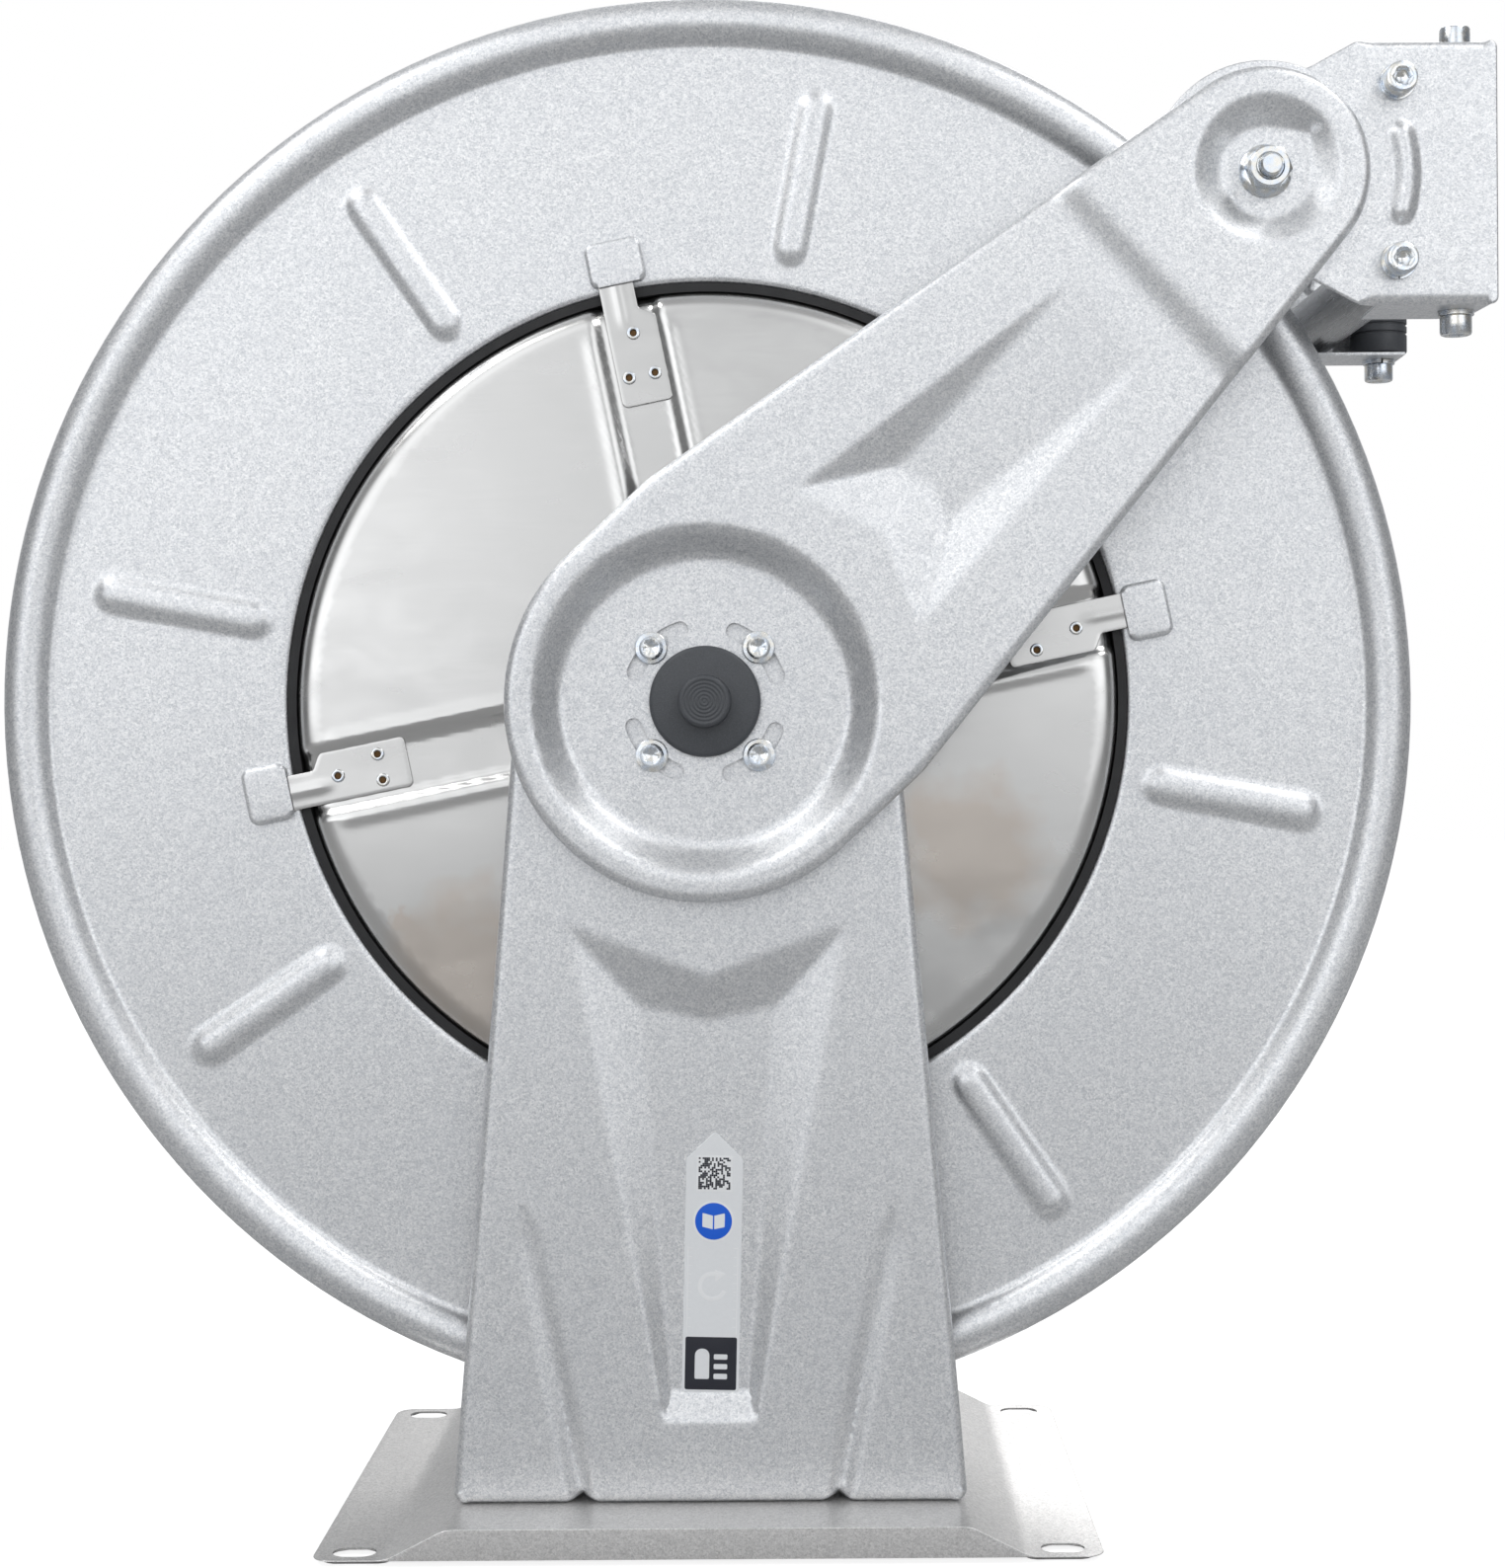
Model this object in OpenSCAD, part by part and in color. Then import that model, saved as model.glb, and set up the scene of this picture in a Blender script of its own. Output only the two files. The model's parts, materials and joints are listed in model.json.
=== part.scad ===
// Spring-rewind hose reel on a pressed-steel stand, with a swinging guide arm and a roller outlet.
// The axis of the drum runs front to back. The front is -Y, and the outlet points to +X.

/* [Drum] */
// Outer diameter of the two side discs
disc_dia = 590; // [500:1:710]
// Clear width between the side discs, where the hose winds
winding_width = 111; // [92:1:140]
// Outer diameter of the shell that the hose winds on
shell_dia = 356; // [340:1:400]
// Thickness of the shell's sheet
shell_sheet = 1.2; // [1:0.1:2]
// Thickness of the discs' sheet
disc_sheet = 1.5; // [1:0.1:2]
// Radius of the rolled rim's bead
rim_bead_r = 10.2; // [8:0.1:12]
// How far the rim's bead stands out from the disc
rim_bead_height = 6; // [4:0.1:8]
// Number of pressed ribs on a disc
rib_count = 8; // [4:1:12]
// Width of a rib
rib_width = 15; // [10:1:20]
// How far a rib stands out
rib_height = 3; // [2:0.5:4]
// Angle of the first rib
rib_turn = 34.3; // [0:0.1:45]

/* [Spring case] */
// Outer diameter of the case that holds the mainspring
case_dia = 344; // [300:1:344]
// Thickness of the case's sheet
case_sheet = 1.2; // [0.8:0.1:2]
// Depth of the case
case_depth = 49.5; // [40:0.5:52]
// How far the cover stands out past the disc
case_proud = 4.5; // [3:0.1:6]
// Radius of the cover's shoulder
case_shoulder = 9; // [5:0.5:12]
// Width of the cross's channels
channel_width = 27; // [24:1:32]
// Depth of the cross's channels
channel_depth = 3; // [2:0.5:3]
// Angle of the cross
cross_turn = 11.5; // [0:0.1:45]
// Number of turns of the mainspring
spring_turns = 11; // [6:1:12]
// Thickness of the mainspring's strip
spring_strip = 1.2; // [0.6:0.1:1.5]
// Outer diameter of the arbor that the mainspring hooks on
arbor_dia = 50; // [44:1:56]

/* [Axle and swivel] */
// Diameter of the fixed axle
axle_dia = 30; // [26:0.5:32]
// Diameter of the water passage in the axle
passage_dia = 18; // [12:0.5:19]
// Outer diameter of the swivel body
swivel_dia = 54; // [50:1:64]
// Diameter of the threaded port in the inlet fitting, at its thread's crest
inlet_port_dia = 24.2; // [20:0.1:30]
// Outer diameter of the threaded nipple that the hose's coupling screws on
nipple_dia = 21; // [17:0.5:24]
// Length of the nipple's thread
nipple_length = 16; // [12:1:24]
// Radial clearance of everything that turns on a shaft
running_gap = 0.05; // [0.02:0.01:0.1]

/* [Stand] */
// Clearance between the discs and the mounting plane
ground_clearance = 48; // [40:1:80]
// Thickness of the stand's and the arms' sheet
frame_sheet = 2.5; // [2:0.1:3]
// From a disc's outer face to the upright's outer face
upright_gap = 22; // [21:0.5:30]
// Width of an upright where it meets the base
upright_foot_width = 212; // [190:1:220]
// Radius of an upright's round top
upright_top_r = 78; // [72:1:80]
// Depth of an upright's edge flanges
upright_flange = 12; // [8:0.5:13]
// Depth of the channel pressed in an upright
upright_channel = 6; // [3:0.5:8]
// Depth of the stiffening grooves at an upright's foot
upright_groove = 3; // [1:0.5:4]
// Length of the base from side to side
base_length = 316; // [300:1:360]
// From an upright's outer face to the base's edge
base_margin = 31.5; // [28:0.5:50]
// Width of the base's flat feet
foot_width = 29.5; // [26:0.5:36]
// Height of the base's raised middle
base_rise = 12; // [10:0.5:16]
// Run of the slopes between the feet and the middle
slope_run = 24; // [18:1:30]
// Radius of the base's corners
base_corner = 8; // [4:1:12]
// Width of a mounting slot
slot_width = 11; // [9:0.5:13]
// Length of a mounting slot
slot_length = 17.5; // [14:0.5:22]
// From a slot's centre to the base's front or rear edge
slot_inset_y = 10.5; // [9:0.5:14]
// From a slot's centre to the base's side edge
slot_inset_x = 16; // [14:0.5:18]

/* [Guide arm] */
// Angle of the arm above the horizontal
arm_angle = 43; // [25:1:65]
// Angle of the arm at which its screws sit mid-slot
arm_mid_angle = 45; // [40:1:50]
// Half the angle over which the screws' slots run
arm_slot_swing = 24; // [10:1:28]
// From the disc's edge to the outlet's pivot
pivot_gap = 17.5; // [15:0.5:40]
// Radius of the arm's round end at the hub
arm_hub_r = 81.6; // [80:0.1:90]
// Radius of the arm's round tip
arm_tip_r = 42; // [38:0.5:50]
// Depth of the arm's edge flanges
arm_flange = 9.5; // [6:0.5:11]
// Depth of the arm's round dish
arm_dish = 11.5; // [9:0.5:14]
// Outer radius of the dish
dish_r = 70.4; // [64:0.2:74]
// Radius of the dish's flat floor
dish_floor_r = 59.5; // [48:0.5:60]
// How far the arm's tip steps outwards
tip_step = 4; // [2:0.5:6]
// Radius of the recess round the tie rod
tip_recess_r = 30; // [26:1:32]
// Radius of that recess's flat floor
tip_floor_r = 18.5; // [16:0.5:20]
// Depth of the faceted recess
facet_depth = 7; // [3:0.5:8]

/* [Hub] */
// Diameter of the circle of hub screws
hub_pcd = 62; // [58:1:66]
// Diameter of the hub screws' thread
hub_screw_dia = 6; // [5:1:8]
// Width of the arm's curved slots
hub_slot_width = 7; // [6.6:0.1:9]
// Diameter of the spigot that the arm turns on
spigot_dia = 36; // [34:1:40]
// Outer diameter of the hub cap
cap_dia = 45.4; // [42:0.2:46]

/* [Outlet] */
// Diameter of the outlet's rollers
roller_dia = 26; // [22:1:28]
// Diameter of the rollers' axles
roller_axle_dia = 12; // [10:0.5:14]
// From the pivot to the two level rollers
level_roller_x = 54; // [48:1:56]
// Distance between the level rollers' axes
level_roller_spacing = 72.8; // [64:0.2:74]
// From the pivot to the two upright rollers
side_roller_x = 82.5; // [81:0.5:88]
// Length of the outlet brackets from the pivot
bracket_length = 95; // [94:1:104]
// Height of the outlet brackets
bracket_height = 107.2; // [104:0.2:116]
// Radius of the brackets' lobe round the pivot
bracket_lobe_r = 46; // [44:1:50]
// Depth of the brackets' top and bottom flanges
bracket_flange = 38; // [36:0.5:42]
// Diameter of the tie rod at the pivot
tie_rod_dia = 10; // [8:0.5:12]

/* [Ratchet] */
// Radius of the ratchet's tooth tips
ratchet_r = 70; // [68:1:71]
// Radius of the ratchet's tooth roots
ratchet_root_r = 58; // [54:1:62]
// Number of ratchet teeth
ratchet_teeth = 8; // [4:4:12]
// From the drum's axis to the pawl's stud
pawl_reach = 98; // [97:1:102]
// Length of the pawl from its stud to its tip's centre
pawl_length = 34; // [30:1:35]
// Angle that the pawl leans away from the ratchet when it is out
pawl_lean = 40; // [38:1:50]

/* [Hidden] */
$fn = 64;
cut = 1; // how far a cutter runs past the face it cuts
seat_gap = 0.1; // between flat faces that slide on each other
arc_steps = 8; // straight steps in one rounded corner of an outline

// Places along the axle, measured from the middle of the drum towards either side
winding_half = winding_width / 2;
disc_face = winding_half + disc_sheet;
upright_face = disc_face + upright_gap;
upright_back = upright_face - frame_sheet;
dish_floor_face = upright_face + seat_gap + frame_sheet;
arm_face = dish_floor_face + arm_dish - seat_gap;
tip_face = arm_face + tip_step;
tip_floor_face = tip_face - 6.5;
bracket_face = tip_floor_face - frame_sheet - seat_gap;
bracket_back = bracket_face - frame_sheet;
case_face = disc_face + case_proud;
case_rear = case_face - case_depth;
hub_flange_thick = 5;
hub_flange_inner = upright_back - hub_flange_thick;
washer_thick = 1.4;
hub_end = hub_flange_inner - washer_thick - seat_gap;

// Places across the axle
disc_r = disc_dia / 2;
axis_height = ground_clearance + disc_r;
shell_r = shell_dia / 2;
case_r = case_dia / 2;
disc_hole_r = shell_r - shell_sheet - 1.2;
axle_r = axle_dia / 2;
bore_r = axle_r + running_gap;
bush_r = axle_r + 3;
arm_reach = disc_r + pivot_gap;
bead_centre_r = disc_r - rim_bead_r;
bead_centre_y = disc_face + rim_bead_height - rim_bead_r;

// Stand
base_top = base_rise + frame_sheet;
base_depth = 2 * (upright_face + base_margin);
middle_half = base_length / 2 - foot_width - slope_run;
slot_x = base_length / 2 - slot_inset_x;
slot_y = base_depth / 2 - slot_inset_y;
foot_drop = base_top - axis_height;
foot_flange = 30;
foot_flange_half = middle_half - 5;
foot_screw_x = [-72, 72];
foot_screw_y = upright_face - foot_flange / 2 - 3;

// Standard fasteners: thread diameter, head diameter, head height
m8_head = [8, 13, 8];
m6_flange_head = [6, 13.6, 5.5];
m10_nut_across = 16;
m10_flange_dia = 21.8;
split_washer = [8.2, 14.8, 2];

// ---------------------------------------------------------------- outlines

function unit(v) = v / norm(v);
function left_of(v) = [-v[1], v[0]];
function flat(p) = [p[0], p[1]];
function side_in(a, b) = left_of(unit(flat(b) - flat(a)));
function corner_shift(a, p, b, d) =
  let (n = side_in(a, p), m = side_in(p, b)) flat(p) + d * (n + m) / (1 + n * m);
function turn_sign(a, p, b) =
  let (n = side_in(a, p), m = side_in(p, b)) n[0] * m[1] - n[1] * m[0] >= 0 ? 1 : -1;
function at(list, i) = list[(i + len(list)) % len(list)];

// The outline [[x, y, radius], ...], counter-clockwise, moved inwards by d
function inset(c, d) = [
  for (i = [0 : len(c) - 1])
    let (p = corner_shift(at(c, i - 1), c[i], at(c, i + 1), d),
         s = turn_sign(at(c, i - 1), c[i], at(c, i + 1)))
      [p[0], p[1], c[i][2] > 0 ? max(c[i][2] - s * d, 0.2) : 0]
];

function corner_arc(a, p, b) =
  let (s = turn_sign(a, p, b), n = side_in(a, p), m = side_in(p, b),
       c = corner_shift(a, p, b, s * p[2]),
       start = atan2(n[1], n[0]),
       swing = s * acos(min(1, n * m)))
    [for (k = [0 : arc_steps])
      let (t = start + swing * k / arc_steps) c - s * p[2] * [cos(t), sin(t)]];

function without_repeats(p) = [for (i = [0 : len(p) - 1]) if (norm(p[i] - at(p, i + 1)) > 0.01) p[i]];

// The outline's corners rounded to their radii
function rounded(c) = without_repeats([
  for (i = [0 : len(c) - 1])
    each (c[i][2] > 0 ? corner_arc(at(c, i - 1), c[i], at(c, i + 1)) : [flat(c[i])])
]);

function mirrored(c) = [for (i = [len(c) - 1 : -1 : 0]) [-c[i][0], c[i][1]]];
function box_outline(x0, y0, x1, y1, r) = [[x0, y0, r], [x1, y0, r], [x1, y1, r], [x0, y1, r]];

// ---------------------------------------------------------------- helpers

// Draws in the plane of the discs: x to the right, y up, z towards the front, from the drum's axis
module facing_front() { translate([0, 0, axis_height]) rotate([90, 0, 0]) children(); }
module facing_rear() { mirror([0, 1, 0]) facing_front() children(); }
module both_sides() { facing_front() children(); facing_rear() children(); }
module along_arm() { rotate(arm_angle) children(); }
module at_pivot() { rotate(arm_angle) translate([arm_reach, 0, 0]) rotate(-arm_angle) children(); }
module around(count, first = 0) { for (i = [0 : count - 1]) rotate(first + i * 360 / count) children(); }

module tube(outer_r, inner_r, z0, z1) {
  translate([0, 0, z0]) difference() {
    cylinder(r = outer_r, h = z1 - z0);
    translate([0, 0, -cut]) cylinder(r = inner_r, h = z1 - z0 + 2 * cut);
  }
}

module hole(r, z0, z1) { translate([0, 0, z0 - cut]) cylinder(r = r, h = z1 - z0 + 2 * cut); }

// A solid through a row of closed outlines with equal numbers of points
module loft(rings) {
  n = len(rings[0]);
  last = len(rings) - 1;
  polyhedron(
    points = [for (r = rings) each r],
    faces = concat(
      [[for (i = [0 : n - 1]) i]],
      [for (k = [0 : last - 1]) for (i = [0 : n - 1])
        each [[k * n + i, (k + 1) * n + (i + 1) % n, k * n + (i + 1) % n],
              [k * n + i, (k + 1) * n + i, (k + 1) * n + (i + 1) % n]]],
      [[for (i = [n - 1 : -1 : 0]) last * n + i]]
    ),
    convexity = 4
  );
}
function ring_at(outline, z) = [for (p = outline) [p[0], p[1], z]];

// A recess pressed into a sheet whose face is at z: its cutter, from the floor up past the face
module recess(floor_outline, edge_outline, face, depth) {
  loft([ring_at(floor_outline, face - depth), ring_at(edge_outline, face), ring_at(edge_outline, face + cut)]);
}

// The sheet's own wall round that recess
module recess_wall(floor_outline, edge_outline, face, depth, thick) {
  loft([ring_at(floor_outline, face - depth - thick), ring_at(edge_outline, face - thick),
        ring_at(edge_outline, face - thick / 2)]);
}

module sheet_with_flange(outline, face, depth, thick) {
  difference() {
    translate([0, 0, face - depth]) linear_extrude(depth) polygon(rounded(outline));
    translate([0, 0, face - depth - cut])
      linear_extrude(depth - thick + cut) polygon(rounded(inset(outline, thick)));
  }
}

module hex(across, height) { cylinder(r = across / 2 / cos(30), h = height, $fn = 6); }

// A socket-head screw whose head sits on z = 0 and whose shank runs to -length
module socket_screw(size, length, socket = 6) {
  difference() {
    union() {
      translate([0, 0, -length]) cylinder(d = size[0], h = length + 0.5);
      cylinder(d = size[1], h = size[2]);
    }
    translate([0, 0, size[2] / 2]) hex(socket, size[2]);
  }
}

// A flange screw with a star socket
module flange_screw(size, length) {
  difference() {
    union() {
      translate([0, 0, -length]) cylinder(d = size[0], h = length + 0.5);
      cylinder(d = size[1], h = 1.4);
      cylinder(d = size[1] * 0.7, h = size[2]);
    }
    translate([0, 0, size[2] - 2.5]) hex(4.6, 3.5);
  }
}

module flange_nut(bore_d, across, flange_d, height) {
  difference() {
    union() {
      cylinder(d = flange_d, h = 1.6);
      hex(across, height);
    }
    hole(bore_d / 2, 0, height);
  }
}

// ---------------------------------------------------------------- stand

base_profile = [
  [-base_length / 2, 0], [-base_length / 2 + foot_width, 0], [-middle_half, base_rise], [middle_half, base_rise],
  [base_length / 2 - foot_width, 0], [base_length / 2, 0], [base_length / 2, frame_sheet],
  [base_length / 2 - foot_width - 0.6, frame_sheet], [middle_half - 0.6, base_top],
  [-middle_half + 0.6, base_top], [-base_length / 2 + foot_width + 0.6, frame_sheet], [-base_length / 2, frame_sheet]
];

module base_plate() {
  half = base_length / 2;
  color("silver") difference() {
    intersection() {
      translate([0, base_depth / 2, 0]) rotate([90, 0, 0]) linear_extrude(base_depth) polygon(base_profile);
      translate([0, 0, -cut]) linear_extrude(base_top + 2 * cut)
        polygon(rounded(box_outline(-half, -base_depth / 2, half, base_depth / 2, base_corner)));
    }
    for (x = [-slot_x, slot_x]) for (y = [-slot_y, slot_y]) translate([x, y, 0]) {
      run = (slot_length - slot_width) / 2;
      for (s = [-run, run]) translate([s, 0, 0]) hole(slot_width / 2, 0, frame_sheet);
      translate([-run, -slot_width / 2, -cut]) cube([2 * run, slot_width, frame_sheet + 2 * cut]);
    }
    for (x = foot_screw_x) for (y = [-foot_screw_y, foot_screw_y])
      translate([x, y, base_rise]) hole(m8_head[0] / 2 + 0.5, 0, frame_sheet);
  }
}

upright_half_foot = upright_foot_width / 2;
upright_outline = [
  [-upright_half_foot, foot_drop, 3], [upright_half_foot, foot_drop, 3],
  [upright_top_r + 2, -20, 30], [upright_top_r, upright_top_r, upright_top_r],
  [-upright_top_r, upright_top_r, upright_top_r], [-upright_top_r - 2, -20, 30]
];

// The channel: its edge on the face and its floor, with a pointed top
channel_top = -94;
channel_foot = foot_drop + 34;
channel_edge_half = [
  [0, channel_top - 19.3], [52, channel_top], [54.6, channel_top - 9], [19.4, channel_foot + 4.5], [14, channel_foot]
];
channel_floor_half = [
  [0, channel_top - 36.3], [27.5, channel_top - 30], [27.5, channel_top - 32],
  [16.2, channel_foot + 13.5], [13, channel_foot + 10.2]
];
function both_halves(h) = concat(
  [for (i = [len(h) - 1 : -1 : 0]) h[i]], [for (i = [1 : len(h) - 1]) [-h[i][0], h[i][1]]]);
channel_edge = both_halves(channel_edge_half);
channel_floor = both_halves(channel_floor_half);

// A stiffening groove: a channel with a pointed top that widens towards the foot
groove_foot = foot_drop + frame_sheet + 2;
groove_edge = [
  [-58.8, groove_foot], [-47.1, groove_foot], [-67.7, foot_drop + 111], [-74.2, foot_drop + 123],
  [-79.5, foot_drop + 105]
];
groove_floor = [
  [-54.5, groove_foot + 2], [-51.5, groove_foot + 2], [-71.6, foot_drop + 108], [-73.8, foot_drop + 112],
  [-74.9, foot_drop + 107]
];

module upright() {
  difference() {
    union() {
      difference() {
        union() {
          sheet_with_flange(upright_outline, upright_face, upright_flange, frame_sheet);
          recess_wall(channel_floor, channel_edge, upright_face, upright_channel, frame_sheet);
          for (side = [0, 1]) mirror([side, 0, 0])
            recess_wall(groove_floor, groove_edge, upright_face, upright_groove, frame_sheet);
        }
        recess(channel_floor, channel_edge, upright_face, upright_channel);
        for (side = [0, 1]) mirror([side, 0, 0]) recess(groove_floor, groove_edge, upright_face, upright_groove);
      }
      translate([-foot_flange_half, foot_drop, upright_face - foot_flange])
        cube([2 * foot_flange_half, frame_sheet, foot_flange]);
    }
    hole(spigot_dia / 2 + 0.1, upright_back, upright_face);
    around(4, 45) translate([hub_pcd / 2, 0, 0]) hole(hub_screw_dia / 2 + 0.4, upright_back, upright_face);
    for (x = foot_screw_x) translate([x, foot_drop, foot_screw_y]) rotate([-90, 0, 0])
      hole(m8_head[0] / 2 + 0.5, 0, frame_sheet);
    for (side = [-1, 1]) translate([side * upright_half_foot, foot_drop, upright_face - upright_flange - cut])
      translate([-6, -cut, 0]) cube([12, 4 + cut, upright_flange - frame_sheet + cut]);
  }
}

module front_upright() { color("silver") facing_front() upright(); }
module rear_upright() { color("silver") facing_rear() upright(); }

module foot_screws() {
  color("gainsboro") both_sides() for (x = foot_screw_x)
    translate([x, foot_drop - frame_sheet, foot_screw_y]) rotate([90, 0, 0]) {
      translate([0, 0, -16]) cylinder(d = m8_head[0], h = 16.5);
      hex(m8_head[1], 5.3);
    }
}

module foot_nuts() {
  color("gainsboro") both_sides() for (x = foot_screw_x)
    translate([x, foot_drop + frame_sheet, foot_screw_y]) rotate([-90, 0, 0])
      flange_nut(m8_head[0], m8_head[1], 17.5, 8);
}

label_centre = [1.2, foot_drop + 92];
label_tilt = -1.5;
label_half = [11.75, 48];
module label() {
  color("lightgrey") facing_front() translate([label_centre[0], label_centre[1], upright_face - upright_channel])
    rotate(label_tilt) linear_extrude(0.3)
      polygon([[-label_half[0], -label_half[1]], [label_half[0], -label_half[1]], label_half,
               [0, label_half[1] + 11.5], [-label_half[0], label_half[1]]]);
}

// ---------------------------------------------------------------- hub and axle

hub_flange_r = hub_pcd / 2 + 9;
flat_depth = 2; // of the flats that key the axle

module key_flat(r, z0, z1) {
  for (s = [0, 1]) mirror([s, 0, 0]) translate([r - flat_depth, -r - cut, z0]) cube([2 * r, 2 * r + 2 * cut, z1 - z0]);
}

// A hub flange; the front one is keyed to the axle's flats
module hub_flange(keyed) {
  difference() {
    union() {
      tube(hub_flange_r, axle_r / 2, hub_flange_inner, upright_back);
      tube(spigot_dia / 2, axle_r / 2, upright_back - 0.5, dish_floor_face);
    }
    difference() {
      hole(axle_r, hub_flange_inner, dish_floor_face);
      if (keyed) key_flat(axle_r, hub_flange_inner - 2, dish_floor_face + 2);
    }
    around(4, 45) translate([hub_pcd / 2, 0, 0]) hole(hub_screw_dia / 2, hub_flange_inner, upright_back);
  }
}

module front_hub_flange() { color("darkgrey") facing_front() hub_flange(true); }
module rear_hub_flange() { color("darkgrey") facing_rear() hub_flange(false); }

module hub_screw_set() {
  around(4, 45) translate([hub_pcd / 2, 0, dish_floor_face + seat_gap])
    flange_screw([hub_screw_dia, m6_flange_head[1], m6_flange_head[2]], dish_floor_face - hub_flange_inner);
}
module front_hub_screws() { color("gainsboro") facing_front() hub_screw_set(); }
module rear_hub_screws() { color("gainsboro") facing_rear() hub_screw_set(); }

end_washer_r = spigot_dia / 2 - 1;
end_washer_top = dish_floor_face + 1.5;
module end_washer() { color("gainsboro") facing_front() tube(end_washer_r, 4.2, dish_floor_face, end_washer_top); }
module end_screw() {
  color("gainsboro") facing_front() translate([0, 0, end_washer_top]) socket_screw([8, 14, 4.4], 22, 5);
}

cap_plate = 4.6;
cap_boss_r = 10.65;
cap_boss_top = dish_floor_face + 11;
module hub_cap() {
  z0 = dish_floor_face + seat_gap;
  color("black") facing_front() difference() {
    union() {
      translate([0, 0, z0]) rotate_extrude() polygon([
        [0, 0], [cap_dia / 2, 0], [cap_dia / 2, cap_plate - 1.6], [cap_dia / 2 - 1.6, cap_plate], [0, cap_plate]]);
      translate([0, 0, z0]) rotate_extrude() polygon([
        [0, 0], [cap_boss_r, 0], [cap_boss_r, cap_boss_top - z0 - 1.2], [cap_boss_r - 1.2, cap_boss_top - z0],
        [0, cap_boss_top - z0]]);
    }
    hole(end_washer_r, z0, end_washer_top + 0.2 - cut);
    hole(7.6, z0, end_washer_top + 5.2 - cut);
  }
}

// The axle, from the front washer to the inlet fitting, hollow at the rear
axle_rear = -(dish_floor_face + 16.5);
port_y = -34; // of the radial ports that feed the swivel
ring_groove = [1.6, 1]; // width and depth of a circlip's groove
arbor_inset = 3; // from the case's back to the arbor
front_ring_y = case_rear + arbor_inset - ring_groove[0];
rear_ring_y = port_y + 15.5 + 1;
module axle() {
  color("darkgrey") facing_front() difference() {
    translate([0, 0, axle_rear]) cylinder(r = axle_r, h = dish_floor_face - axle_rear);
    key_flat(axle_r, hub_flange_inner, dish_floor_face + cut);
    hole(passage_dia / 2, axle_rear, port_y + 10);
    translate([0, 0, port_y]) around(4, 30) rotate([0, 90, 0]) cylinder(d = 10, h = axle_r + cut);
    hole(4, end_washer_top - 24, dish_floor_face);
    for (y = [front_ring_y, rear_ring_y]) tube(axle_r + cut, axle_r - ring_groove[1], y, y + ring_groove[0]);
  }
}

module circlips() {
  color("dimgray") facing_front() for (y = [front_ring_y, rear_ring_y])
    difference() {
      tube(axle_r + 4, axle_r - ring_groove[1], y, y + ring_groove[0]);
      translate([axle_r - 3, -3, y - cut]) cube([8, 6, ring_groove[0] + 2 * cut]);
    }
}

module thrust_washers() {
  color("tan") both_sides() tube(axle_r + 8, axle_r, hub_flange_inner - washer_thick, hub_flange_inner);
}

arbor_span = [case_rear + arbor_inset, case_face - case_sheet - 4];
hook_slot = 3;
module spring_arbor() {
  color("dimgray") facing_front() difference() {
    tube(arbor_dia / 2, axle_r, arbor_span[0], arbor_span[1]);
    translate([axle_r + 4, -hook_slot / 2, arbor_span[0] - cut])
      cube([arbor_dia, hook_slot, arbor_span[1] - arbor_span[0] + 2 * cut]);
  }
}

fitting_across = 46;
port_depth = 17;
module inlet_fitting() {
  socket_end = axle_rear;
  mouth = axle_rear - port_depth - 4;
  color("goldenrod") facing_front() difference() {
    union() {
      translate([0, 0, mouth]) hex(fitting_across, 18);
      tube(axle_r + 6, axle_r - 1, mouth + 16, axle_rear + 12);
    }
    hole(axle_r, socket_end + cut, axle_rear + 12);
    hole(passage_dia / 2, mouth, socket_end + cut);
    hole(inlet_port_dia / 2, mouth, mouth + port_depth - cut);
  }
}

// ---------------------------------------------------------------- drum

lug_size = [24, 19, 1.5];
lug_radius = 187.5 + (disc_hole_r - 175.6);
lug_rise = 5;
lug_side = -2.2;

module disc_section() {
  translate([disc_hole_r, disc_face - disc_sheet]) square([bead_centre_r - 8.5 - disc_hole_r, disc_sheet]);
  translate([bead_centre_r, bead_centre_y]) difference() {
    circle(r = rim_bead_r);
    circle(r = rim_bead_r - disc_sheet);
    below = disc_face - disc_sheet - bead_centre_y;
    translate([-2 * rim_bead_r, -2 * rim_bead_r]) square([2 * rim_bead_r, 2 * rim_bead_r + below]);
    translate([-cut, -2 * rim_bead_r]) square([3 * rim_bead_r, 2 * rim_bead_r - 3]);
  }
}

rib_span = [disc_hole_r + 10.4 + rib_width / 2, disc_r - 35 - rib_width / 2];
rib_r = (pow(rib_width / 2, 2) + pow(rib_height, 2)) / (2 * rib_height);
module rib_bars(r) {
  around(rib_count, rib_turn) translate([rib_span[0], 0, disc_face + rib_height - rib_r]) rotate([0, 90, 0]) {
    cylinder(r = r, h = rib_span[1] - rib_span[0], $fn = 48);
    for (z = [0, rib_span[1] - rib_span[0]]) translate([0, 0, z]) sphere(r = r, $fn = 48);
  }
}

module side_disc() {
  difference() {
    union() {
      rotate_extrude($fn = 128) disc_section();
      intersection() {
        rib_bars(rib_r);
        tube(disc_r, disc_hole_r, disc_face - 0.5, disc_face + rib_height + cut);
      }
    }
    rib_bars(rib_r - disc_sheet);
  }
}

// A lug: a bent plate that bridges over the clip's tongue
module disc_lugs() {
  around(4, cross_turn) translate([lug_radius, 0, 0]) {
    translate([-lug_size[1] / 2, -lug_side - lug_size[0] / 2, disc_face + lug_rise - lug_size[2]])
      cube([lug_size[1], lug_size[0], lug_size[2]]);
    translate([-lug_size[1] / 2, -lug_side + lug_size[0] / 2 - 1.5, disc_face - disc_sheet])
      cube([lug_size[1], 1.5, lug_rise + disc_sheet]);
  }
}

module front_disc() { color("lightsteelblue") facing_front() { side_disc(); disc_lugs(); } }

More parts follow.
